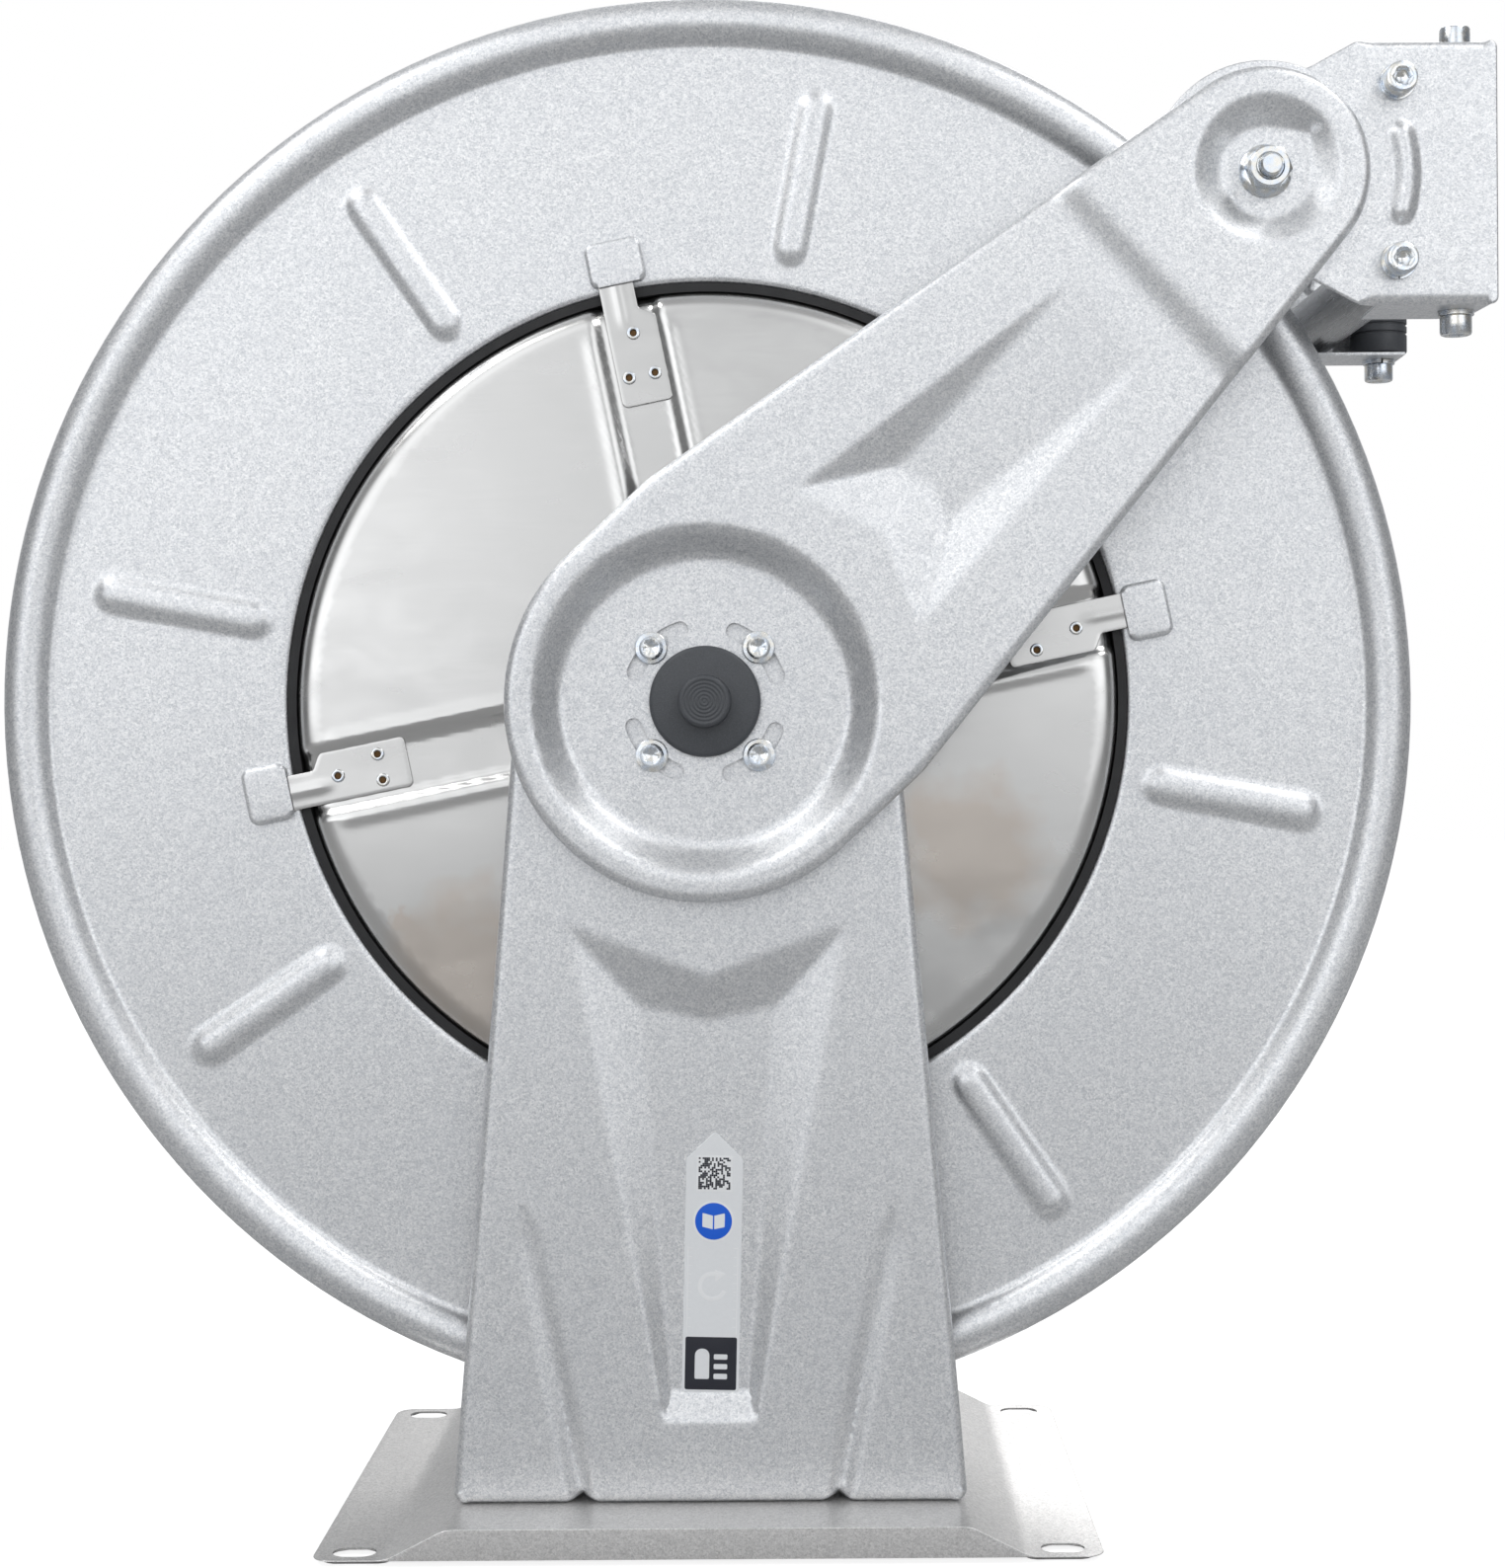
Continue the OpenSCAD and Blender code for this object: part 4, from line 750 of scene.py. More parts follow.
def thread_tree():
    """A screw thread: a three-sided ridge along a helix."""
    t = Tree("Screw thread", [
        ("Radius", "Float"), ("Pitch", "Float"), ("Turns", "Float"), ("Ridge", "Float"), ("Facing", "Vector"),
        ("Seat", "Vector")])
    given = t.given
    height = t.math("MULTIPLY", given["Pitch"], given["Turns"])
    helix = t.out("GeometryNodeCurveSpiral", {
        "Resolution": 40, "Rotations": given["Turns"], "Start Radius": given["Radius"], "End Radius": given["Radius"],
        "Height": height})
    ridge = t.out("GeometryNodeCurvePrimitiveCircle", {"Resolution": 3, "Radius": given["Ridge"]})
    thread = t.out("GeometryNodeCurveToMesh", {"Curve": helix, "Profile Curve": ridge, "Fill Caps": True})
    t.end(t.seated(thread))


def grown(tree_name, mesh, values):
    """The plain mesh that a node tree makes from mesh with these named inputs."""
    piece = new_object("growing", mesh.copy() if mesh else bpy.data.meshes.new("seed"))
    modifier = piece.modifiers.new("Tree", "NODES")
    modifier.node_group = bpy.data.node_groups[tree_name]
    sockets = {s.name: s.identifier for s in modifier.node_group.interface.items_tree if s.in_out == "INPUT"}
    for name, value in values.items():
        modifier[sockets[name]] = value
    made = applied(piece).data
    bpy.data.objects.remove(piece)
    return made


TO_FRONT = (math.pi / 2, 0.0, 0.0)
TO_REAR = (-math.pi / 2, 0.0, 0.0)


def seat_at(x, y, z):
    """A seat in metres from a place across the drum's axis and z towards the front."""
    return (x * MM, -z * MM, (AXIS_Z + y) * MM)


def ring_of(mesh, count, radius, first, z, material, centre=(0, 0), rear=False, lean=(0.0, 0.0, 0.0)):
    """Copies of mesh round centre, standing on the face z towards the front or the rear."""
    return grown("Ring of copies", mesh, {
        "Count": count, "Radius": radius * MM, "First angle": -first if rear else first, "Lean": lean,
        "Facing": TO_REAR if rear else TO_FRONT, "Seat": seat_at(*centre, -z if rear else z),
        "Finish": finish_named(material)})


# ---------------------------------------------------------------- stand


def base_height(x, y):
    """The base's flat feet, its slopes and its raised middle."""
    foot, run = 29.5, 24.0
    edge = BASE_HALF[0] - foot
    return slope(-np.abs(x), -edge, -(edge - run), BASE_TOP - SHEET, 1.4)


class REEL_OT_base_plate(bpy.types.Operator):
    """Builds the folded base plate with its four slots"""

    bl_idname = "reel.base_plate"
    bl_label = "Base plate"

    def execute(self, context):
        half_x, half_y = BASE_HALF
        step, corner = 2.5, 8
        slot_x, slot_y, slot_round = 8.75, 5.5, 5.45
        rim = box_loop(-half_x, -half_y, half_x, half_y, corner, step)
        slots = [
            box_loop(x - slot_x, y - slot_y, x + slot_x, y + slot_y, slot_round, 1.2)
            for x in (16 - half_x, half_x - 16) for y in (10.5 - half_y, half_y - 10.5)
        ]
        points, faces = pressed_sheet(rim, base_height, SHEET, 0.35, 0.35, slots, step=step)
        piece = new_object("base_plate_sheet", mesh_of("base_plate_sheet", points, faces))
        finished(thickened(piece, SHEET), "root", "base_paint", "base_plate")
        return {"FINISHED"}


CHANNEL_OUTER = (54.6, -103.0, 19.4, -290.0)  # half width and height at the top and at the foot of its edge
CHANNEL_FLOOR = (27.5, -126.0, 16.2, -284.3)  # and of its floor


def groove_profile(x, up):
    """How much of the foot groove's depth there is at x and at a height above the foot."""
    out = 58.8 + 0.2016 * (up - 2.5)
    inner = 47.1 + 0.1929 * (up - 4.1)
    half = (out - inner) / 2 * np.clip((123.5 - up) / 15, 0.02, 1)
    across = np.abs(np.abs(x) - (out + inner) / 2) / half
    return smooth_max(1.12 * (1 - across), 0 * across, 0.2) * (across < 1.3)


def upright_height(x, y):
    """The pressed face of an upright: its pointed channel and its two foot grooves."""
    across = np.abs(x)
    edge_top, floor_top = -113.3 + 0.371 * across, -130.3 + 0.21 * across
    top = (edge_top - y) / (edge_top - floor_top)
    half = [w1 + (w0 - w1) * (y - y1) / (y0 - y1) for w0, y0, w1, y1 in (CHANNEL_OUTER, CHANNEL_FLOOR)]
    side = (half[0] - across) / np.maximum(half[0] - half[1], 2.0)
    foot = (y - (FOOT_Y + 34)) / 10.2
    depth = size("channel_depth")
    wall = smooth_min(smooth_min(top, side, 0.06), foot, 0.08) * depth
    channel = smooth_min(smooth_max(wall, 0 * wall, 0.6), depth + 0 * wall, 0.5)
    up = y - FOOT_Y
    groove = size("groove_depth") * groove_profile(x, up) * np.clip(1 - up / 126, 0, 1) ** 0.7
    return -channel - groove


class REEL_OT_uprights(bpy.types.Operator):
    """Builds the two pressed uprights"""

    bl_idname = "reel.uprights"
    bl_label = "Uprights"

    def execute(self, context):
        w, top = UPRIGHT_HALF, UPRIGHT_TOP
        rim = outline([(-w, FOOT_Y, 5), (w, FOOT_Y, 5), (top + 2, -20, 30), (top, top, top), (-top, top, top),
                       (-top - 2, -20, 30)], 1.6)
        up = rim[:, 1] - FOOT_Y
        depth = np.where(up < 0.3, 30.0, 12.0)
        bend = np.full(len(rim), size("bend_radius"))
        corner = (up < 5.2) & (np.abs(rim[:, 0]) > w - 6)
        depth[corner] = bend[corner] = 3.0
        rim[:, 1] += np.where(up < 0.3, 2.6 * groove_profile(rim[:, 0], 0 * up), 0)
        holes = [circle(18.1, 1.5)] + [
            circle(3.4, 1.0, (HUB_PCD / 2 * math.cos(a), HUB_PCD / 2 * math.sin(a)))
            for a in (np.arange(4) + 0.5) * math.pi / 2
        ]
        points, faces = pressed_sheet(rim, upright_height, UPRIGHT_FACE, depth, bend, holes)
        both_pressings("upright", points, faces, "root")
        return {"FINISHED"}


# ---------------------------------------------------------------- drum


def rib_lift(x, y, z):
    """Height of the pressed ribs over a disc's flat web."""
    count, width, high = bpy.context.scene.reel_sizes.rib_count, size("rib_width"), size("rib_height")
    inner, outer = 193.5, DISC_R - 42.5
    pitch = math.tau / count
    angle = (np.arctan2(y, x) - math.radians(RIB_TURN) + pitch / 2) % pitch - pitch / 2
    r = np.hypot(x, y)
    along, across = r * np.cos(angle), r * np.sin(angle)
    past = along - np.clip(along, inner, outer)
    far = np.hypot(past, across)
    radius = (width ** 2 / 4 + high ** 2) / (2 * high)
    arch = np.sqrt(np.maximum(radius ** 2 - far ** 2, 1e-6)) - radius + high
    return smooth_max(smooth_min(arch * 1.12, high + 0 * arch, 0.8), 0 * arch, 1.1) * (far < width)


def disc_path():
    """Section of a disc: a turned-in hole edge, the flat web, a fillet and the rolled rim."""
    lip = 2.6
    hole = CASE_R + 3.6
    path = [(hole, DISC_FACE - 5.5), (hole, DISC_FACE - lip)]
    path += [
        (hole + lip - lip * math.cos(a), DISC_FACE - lip + lip * math.sin(a)) for a in np.linspace(0, math.pi / 2, 6)
    ]
    path += [(r, DISC_FACE) for r in np.arange(hole + lip + 2, DISC_R - 24, 2.1)]
    fillet, bead = 4.0, (DISC_R - BEAD_R, RIM_TOP - BEAD_R)
    rise = DISC_FACE + fillet - bead[1]
    reach = math.sqrt((BEAD_R + fillet) ** 2 - rise ** 2)
    meet = math.atan2(rise, -reach)
    path += [
        (bead[0] - reach + fillet * math.cos(a), DISC_FACE + fillet + fillet * math.sin(a))
        for a in np.linspace(-math.pi / 2, meet - math.pi, 7)
    ]
    path += [
        (bead[0] + BEAD_R * math.cos(a), bead[1] + BEAD_R * math.sin(a))
        for a in np.linspace(meet, math.radians(-17), 26)
    ]
    return path


def rib_angles():
    """Angles round a disc, close together at the ribs."""
    count = bpy.context.scene.reel_sizes.rib_count
    pitch = 360 / count
    near, wide = 4.4, 2.2
    own = [*np.arange(-near, near, 0.4), *np.arange(near, pitch - near - 0.1, wide)]
    return np.radians(RIB_TURN + np.concatenate([k * pitch + np.array(own) for k in range(count)]))


class REEL_OT_discs(bpy.types.Operator):
    """Builds the two side discs with their ribs and rolled rims"""

    bl_idname = "reel.discs"
    bl_label = "Side discs"

    def execute(self, context):
        path, angles = disc_path(), rib_angles()
        rear_path = [(r, DISC_FACE) for r in np.arange(150.0, CASE_R + 4, 4)] + path[9:]
        for name, rows, place in (("front_disc", path, facing_front), ("rear_disc", rear_path, facing_rear)):
            points, faces = polar_sheet(rows, angles, rib_lift)
            mesh = mesh_of(name + "_sheet", place(points), faces, place is facing_rear)
            finished(thickened(new_object(name + "_sheet", mesh), DISC_SHEET), "drum", "silver_paint", name)
        return {"FINISHED"}


def cover_height(x, y):
    """The cross of channels pressed in the spring case's cover."""
    c, s = math.cos(CHANNEL_TURN), math.sin(CHANNEL_TURN)
    u, v = np.abs(c * x + s * y), np.abs(-s * x + c * y)
    across, along = np.minimum(u, v), np.maximum(u, v)
    half = size("cross_width") / 2
    depth = size("cross_depth") * (1 - slope(across, half - 2.6, half + 0.6, 1.0, 0.22))
    depth = depth * slope(along, 52, 58, 1.0, 0.2)
    swell = 0.5 * np.exp(-(((across - half - 3.2) / 2.2) ** 2)) * slope(along, 60, 70, 1.0, 0.2)
    return swell * (1 - slope(np.hypot(x, y), CASE_R - 16, CASE_R - 10, 1.0, 0.2)) - depth


class REEL_OT_case_cover(bpy.types.Operator):
    """Builds the cover of the spring case"""

    bl_idname = "reel.case_cover"
    bl_label = "Case cover"

    def execute(self, context):
        rim = circle(CASE_R, 1.9)
        holes = [circle(18.0, 1.5)]
        points, faces = pressed_sheet(rim, cover_height, CASE_FACE, CASE_FACE - CASE_REAR, 9.0, holes, step=2.2)
        piece = new_object("case_cover_pressing", mesh_of("case_cover", facing_front(points), faces))
        finished(thickened(piece, 1.2), "drum", "case_steel", "case_cover")
        return {"FINISHED"}


def lug_mesh():
    """A bent lug that bridges over a clip's tongue; x is radial and z out of the disc."""
    rim = box_loop(-9.5, -12, 9.5, 12, 4, 0.8)
    inner_side = rim[:, 0] < -9.2
    bend = np.where(inner_side, 0.4, 2.2)
    depth = np.where(inner_side, 0.4, 4.4)

    def crown(x, y):
        return 0.35 * np.cos(x * 0.12) * np.cos(y * 0.1)

    points, faces = pressed_sheet(rim, crown, 4.4, depth, bend, step=1.3)
    piece = new_object("lug", mesh_of("lug", points, faces))
    return shaded(thickened(piece, 1.3))


def clip_mesh():
    """A spring clip: a riveted plate with a tongue that steps up under the lug; x is radial from the axis."""
    r0, r1, tip = CASE_R - 45, CASE_R - 5, CASE_R + 22.5
    rim = outline([(r0, -12.5, 2.5), (r1 - 4, -12.5, 3.5), (r1, -5.7, 2.0), (tip, -5.7, 1.5), (tip, 9, 1.5),
                   (r0, 9, 2.5)], 0.9)
    holes = [circle(1.3, 0.5, (r0 + x, y)) for x, y in CLIP_RIVETS]

    def bead(x, y):
        return 0.35 * np.exp(-(((y - 1.6) / 1.8) ** 2)) * slope(x, r1 - 8, r1 - 2, 1.0, 0.2)

    points, faces = pressed_sheet(rim, bead, 1.15, 0.8, 0.35, holes, step=1.4)
    piece = new_object("clip", mesh_of("clip", points, faces))
    return shaded(thickened(piece, 1.1))


def rivet_mesh():
    """A hollow rivet's rolled head."""
    rings = [
        (0, -0.6), (2.6, 0), (2.75, 0.4), (2.5, 0.85), (2.0, 1.0), (1.55, 0.85), (1.3, 0.4), (1.25, -0.5), (0, -0.6)]
    return mesh_of("rivet", *turned(rings, 20))


class REEL_OT_case_clips(bpy.types.Operator):
    """Builds the lugs, clips and rivets that hold the spring case in the drum"""

    bl_idname = "reel.case_clips"
    bl_label = "Case clips"

    def execute(self, context):
        lug, clip = lug_mesh(), clip_mesh()
        lugs = ring_of(lug.data, 4, CASE_R + 15.5, CHANNEL_TURN, DISC_FACE - 0.4, "silver_paint")
        finished(new_object("case_lugs", lugs), "drum", "silver_paint")
        piece = new_object("case_clip_plates", ring_of(clip.data, 4, 0.0, CHANNEL_TURN, CASE_FACE - 3.0, "case_steel"))
        finished(piece, "drum", "case_steel", "case_clips")
        rivet, hollow = rivet_mesh(), mesh_of("dot", *turned([(0, -0.1), (1.2, 0.0), (0, 0.02)], 14))
        rivets, hollows = [], []
        for x, y in CLIP_RIVETS:
            r, turn = np.hypot(CASE_R - 45 + x, y), CHANNEL_TURN + math.atan2(y, CASE_R - 45 + x)
            rivets.append(ring_of(rivet, 4, r, turn, CASE_FACE - 1.8, "zinc"))
            hollows.append(ring_of(hollow, 4, r, turn, CASE_FACE - 1.7, "rivet_stain"))
        finished(joined("case_clip_rivets", rivets), "drum", "zinc", "clip_rivets")
        finished(joined("rivet_hollows", hollows), "drum", "rivet_stain", slot="zinc")
        for master in (lug, clip):
            bpy.data.objects.remove(master)
        return {"FINISHED"}


# ---------------------------------------------------------------- guide arm

SHOULDER = 45.0
TIP_R = 42.0
STEP_REACH = (ARM_REACH - 69.5, ARM_REACH - 59.5)


def teardrop(u, v):
    """Radius of the tip recess's floor towards (u, v): round, with a corner towards the tip."""
    floor = size("recess_floor")
    half = math.acos(floor / 24.6)
    angle = np.abs(np.arctan2(v, u))
    pointed = floor / np.cos(half - angle)
    return np.where(angle < half, smooth_min(pointed, 23.4 + 0 * pointed, 1.2), floor)


def arm_height(u, v):
    """The pressed face of a guide arm: dish, faceted recess, step and recess round the tie rod."""
    soft = size("crease_radius")
    step = slope(u, *STEP_REACH, TIP_FACE - ARM_FACE, 1.2)
    across = np.abs(v)
    wall = 0.28 * (0.927 * (u - 100) + 0.376 * across)
    side = 0.414 * (37 - (u - 85) * 14 / 135 - across)
    floor = size("facet_depth") * (1 - (u - 124) / 101)
    facet = smooth_min(smooth_min(wall, side, soft * 0.6), floor, soft * 0.5)
    facet = smooth_max(facet, 0 * facet, 0.5)
    r = np.hypot(u, v)
    dish = slope(-r, -size("dish_radius"), -size("dish_floor"), ARM_FACE - CAP_SEAT, 1.6)
    tip_u = u - ARM_REACH
    out = np.hypot(tip_u, v)
    inner, outer = teardrop(tip_u, v), size("recess_radius")
    recess = slope(-(out - inner) / (outer - inner), -1.0, 0.0, PIVOT_NUT_SEAT, 0.8)
    dimple = 0.9 * np.exp(-((tip_u + 16.6) ** 2 + v ** 2) / 4.5)
    return step - facet - dish - recess - dimple


def slot_loop(middle, swing, radius, half):
    """A curved slot round the hub."""
    a = np.linspace(middle - swing, middle + swing, 26)
    outer = (radius + half) * np.column_stack([np.cos(a), np.sin(a)])
    inner = (radius - half) * np.column_stack([np.cos(a[::-1]), np.sin(a[::-1])])
    ends = []
    for angle, first in ((middle + swing, middle + swing), (middle - swing, middle - swing + math.pi)):
        centre = radius * np.array([math.cos(angle), math.sin(angle)])
        b = first + np.linspace(0, math.pi, 10)[1:-1]
        ends.append(centre + half * np.column_stack([np.cos(b), np.sin(b)]))
    return np.concatenate([outer, ends[0], inner, ends[1]])


def arm_rim(step):
    """The arm's outline: round ends, joined by sides that touch the tip's round."""
    r, end, reach = ARM_HUB_R, ARM_REACH + TIP_R, ARM_REACH - SHOULDER
    tangent = math.atan2(-r, reach) + math.asin(TIP_R / math.hypot(reach, r))
    tip_y = r + math.tan(tangent) * (end - SHOULDER)
    return outline([(-r, -r, r), (SHOULDER, -r, 30), (end, -tip_y, TIP_R), (end, tip_y, TIP_R), (SHOULDER, r, 30),
                    (-r, r, r)], step)


class REEL_OT_arms(bpy.types.Operator):
    """Builds the two pressed guide arms"""

    bl_idname = "reel.arms"
    bl_label = "Guide arms"

    def execute(self, context):
        rim = arm_rim(1.8)
        holes = [circle(18.1, 1.4)] + [slot_loop(k * math.pi / 2, math.radians(24), HUB_PCD / 2, 3.5) for k in range(4)]
        creases = [circle(size("dish_floor"), 1.8), circle(size("dish_radius"), 1.8)]
        sweep = math.hypot(BRACKET_BOX_START, BRACKET_HALF) + 2
        flange = np.where(np.hypot(rim[:, 0] - ARM_REACH, rim[:, 1]) < sweep, 5.0, 9.5)
        points, faces = pressed_sheet(rim, arm_height, ARM_FACE, flange, size("bend_radius"), holes, creases, 1.9)
        points = turned_by(points, ARM_ANGLE)
        both_pressings("arm", points, faces, "arm")
        return {"FINISHED"}


def nut_rings(across, flange_r, height, bore):
    """A flange nut with a chamfered hexagon."""
    side = hexagon(across)
    return [(bore, 0), (flange_r - 0.3, 0), (flange_r, 0.5), (flange_r - 0.2, 1.3), (across / 2 + 1.2, 2.4),
            (side, 2.6), (side, chamfer(across, height)), (across / 2 - 0.3, height), (bore + 0.9, height),
            (bore, height - 0.9), (bore, 0)]


class REEL_OT_tie_rod(bpy.types.Operator):
    """Builds the tie rod's threaded ends and its flange nuts"""

    bl_idname = "reel.tie_rod"
    bl_label = "Tie rod"

    def execute(self, context):
        seat, r = TIP_FACE - PIVOT_NUT_SEAT, 4.55
        end = seat + 14.5
        half = [(0, 0), (5.0, 0), (5.0, seat - 6), (r, seat - 5.5), (r, end - 1.0), (r - 0.8, end), (0, end)]
        rod = turned([(radius, -z) for radius, z in half[::-1]][:-1] + half[1:], 32)
        rod = mesh_of("rod", facing_front(turned_by(rod[0], 0, PIVOT)), rod[1])
        thread = {
            "Radius": 4.62 * MM, "Pitch": 1.5 * MM, "Turns": 13.0, "Ridge": 0.62 * MM, "Finish": finish_named("zinc")}
        screws = [
            grown("Screw thread", None, {**thread, "Facing": facing, "Seat": seat_at(*PIVOT, z)})
            for facing, z in ((TO_FRONT, end - 20.6), (TO_REAR, 20.6 - end))
        ]
        finished(joined("tie_rod_threaded", [rod, *screws]), "arm", "zinc", "tie_rod")
        nut = mesh_of("nut", *turned(nut_rings(16.0, 10.9, 10.5, 4.9), 72))
        rings = [ring_of(nut, 1, 0.0, 0.4, seat, "zinc", PIVOT, rear) for rear in (False, True)]
        finished(joined("tie_rod_flange_nuts", rings), "arm", "zinc", "tie_rod_nuts", angle=28)
        return {"FINISHED"}


# ---------------------------------------------------------------- hub


def flange_screw_rings(head, flange_r, height):
    """A screw with a washer face, a round head and a star socket."""
    socket = star(2.5, 0.45)
    floor = height - 4.0
    return [(0, 0), (flange_r - 0.3, 0), (flange_r, 0.35), (flange_r - 0.15, 1.1), (flange_r - 0.5, 1.4),
            (head + 0.5, 1.5), (head, 2.0), (head, height - 0.5), (head - 0.5, height), (3.2, height),
            (socket, height - 0.25), (socket, floor), (1.2, floor - 0.15), (0, floor - 0.5)]


class REEL_OT_hub(bpy.types.Operator):
    """Builds the hub's cap and its flange screws"""

    bl_idname = "reel.hub"
    bl_label = "Hub"

    def execute(self, context):
        low, high = corners("hub_cap")
        r, top = high[0], -low[1]
        plate, boss = 4.6, 10.65
        rings = [(0, 0), (r - 0.5, 0), (r, 0.5), (r, plate - 1.6), (r - 0.5, plate - 0.45), (r - 1.8, plate),
                 (boss + 1.2, plate), (boss + 0.3, plate + 0.3), (boss, plate + 1.2), (boss, top - CAP_SEAT - 1.3),
                 (boss - 0.4, top - CAP_SEAT - 0.4), (boss - 1.3, top - CAP_SEAT)]
        rings += [
            (radius, top - CAP_SEAT - 0.16 + 0.14 * math.cos(radius * math.tau / 1.5))
            for radius in np.arange(boss - 1.6, 0.3, -0.25)
        ]
        rings += [(0, top - CAP_SEAT - 0.1)]
        cap = turned(rings, 96)
        piece = new_object("hub_cap_moulding", mesh_of("hub_cap", facing_front(cap[0] + [0, 0, CAP_SEAT]), cap[1]))
        finished(piece, "root", "black_plastic", "hub_cap", angle=50)
        screw = mesh_of("screw", *turned(flange_screw_rings(4.4, 6.8, 5.5), 48))
        for side, rear in (("front", False), ("rear", True)):
            piece = new_object(side + "_hub_star_screws",
                               ring_of(screw, 4, HUB_PCD / 2, math.pi / 4, CAP_SEAT + 0.05, "zinc", rear=rear))
            finished(piece, "root", "zinc", side + "_hub_screws", angle=30)
        return {"FINISHED"}


# ---------------------------------------------------------------- outlet


def bracket_height(x, y):
    """The arc-shaped bead between the two level screws."""
    r, angle = np.hypot(x, y), np.arctan2(y, x)
    radius, swing = 58.0, math.radians(15.5)
    over = angle - np.clip(angle, -swing, swing)
    far = np.hypot(r - radius, over * radius)
    arch = 3.3 * (1 - (far / 5.3) ** 2)
    return smooth_max(arch, 0 * arch, 0.8) * (x > 0)


class REEL_OT_brackets(bpy.types.Operator):
    """Builds the outlet's two pressed brackets"""

    bl_idname = "reel.brackets"
    bl_label = "Brackets"

    def execute(self, context):
        h, lobe = BRACKET_HALF, 46.0
        long_edge, box_start, flange_start = 95.0, BRACKET_BOX_START, 46.0
        back = [(lobe * math.cos(a), lobe * math.sin(a), 0) for a in np.radians(np.arange(68, 293, 2.5))]
        rim = outline([(long_edge, -h, 3), (long_edge, h, 3), (box_start, h, 8), (18.5, h - 10.6, 6), *back,
                       (18.5, 10.6 - h, 6), (box_start, -h, 8)], 1.5)
        level = (np.abs(rim[:, 1]) > h - 0.3) & (rim[:, 0] > flange_start) & (rim[:, 0] < long_edge - 4)
        fade = np.clip((rim[:, 0] - box_start + 2) / (flange_start - box_start), 0, 1)
        upper = (np.abs(rim[:, 1]) > h - 0.3) | (rim[:, 0] > long_edge - 3.2)
        bend = np.where(upper, 1.0 + (size("bend_radius") - 1.0) * fade, 1.0)
        bend[rim[:, 0] > long_edge - 3.2] = 1.0
        depth = np.where(level, 38.0, np.maximum(bend, 1.0))
        holes = [circle(5.1, 1.0)] + [circle(4.1, 0.9, (LEVEL_SEAT[0], s * LEVEL_SEAT[1])) for s in (-1, 1)]
        points, faces = pressed_sheet(rim, bracket_height, BRACKET_FACE, depth, bend, holes, step=1.6)
        points = turned_by(points, 0, PIVOT)
        both_pressings("bracket", points, faces, "outlet")
        return {"FINISHED"}


def roller_rings(half, radius=13.0, bore=6.05):
    """A roller with rounded ends and two rings turned near each."""
    end = [(bore, half - 1.0), (bore + 0.8, half), (radius - 1.0, half), (radius - 0.3, half - 0.3),
           (radius, half - 1.0)]
    rings = []
    for k in (9.0, 13.0):
        z = half - k
        rings += [(radius, z + 0.75), (radius - 0.15, z + 0.6), (radius - 0.7, z + 0.5), (radius - 0.7, z - 0.5),
                  (radius - 0.15, z - 0.6), (radius, z - 0.75)]
    upper = end + rings
    lower = [(r, -z) for r, z in upper[::-1]]
    return (upper + lower + [upper[0]])[::-1]


class REEL_OT_rollers(bpy.types.Operator):
    """Builds the four rollers"""

    bl_idname = "reel.rollers"
    bl_label = "Rollers"

    def execute(self, context):
        for name, sign in (("upper_roller", 1), ("lower_roller", -1)):
            half = front_of(name)
            points, faces = turned(roller_rings(half), 64)
            points = turned_by(points, 0, PIVOT + [LEVEL_SEAT[0], sign * LEVEL_SEAT[1]])
            piece = new_object(name + "_turned", mesh_of(name, facing_front(points), faces))
            # The rollers' zinc is painted dark grey: painted shade.
            finished(piece, name, "roller_steel", name, slot="zinc")
        half = corners("front_side_roller")[1][2] - AXIS_Z - PIVOT[1]
        for name, side in (("front_side_roller", -1), ("rear_side_roller", 1)):
            points, faces = turned(roller_rings(half), 64)
            points = points + [PIVOT[0] + SIDE_REACH, side * SIDE_FACE, AXIS_Z + PIVOT[1]]
            finished(new_object(name + "_moulded", mesh_of(name, points, faces)), name, "black_plastic", name)
        return {"FINISHED"}


def socket_head_rings(radius, height, across):
    hexa = hexagon(across)
    return [(0, 0), (radius - 0.4, 0), (radius, 0.4), (radius, height - 1.1), (radius - 0.35, height - 0.35),
            (radius - 1.1, height), (across / 2 + 1.1, height), (lambda a: hexa(a) + 0.15, height - 0.4),
            (hexa, height - 0.8), (hexa, height - 4.2), (across / 2 - 1.4, height - 4.5), (0, height - 5.6)]


def split_washer(outer, inner, height):
    """A spring washer with its cut."""
    angles = np.linspace(0.06, math.tau - 0.06, 40)
    lift = np.linspace(-0.18, 0.18, len(angles))
    rows = []
    section = (
        (inner, 0), (outer - 0.2, 0), (outer, 0.25), (outer, height - 0.25), (outer - 0.2, height), (inner, height))
    for r, z in section:
        rows.append(np.column_stack([r * np.cos(angles), r * np.sin(angles), z + lift]))
    n, m = len(angles), len(rows)
    faces = [
        (k * n + i, k * n + i + 1, (k + 1) % m * n + i + 1, (k + 1) % m * n + i)
        for k in range(m) for i in range(n - 1)
    ]
    faces += [tuple(k * n for k in range(m)), tuple(k * n + n - 1 for k in range(m))[::-1]]
    return np.concatenate(rows), faces


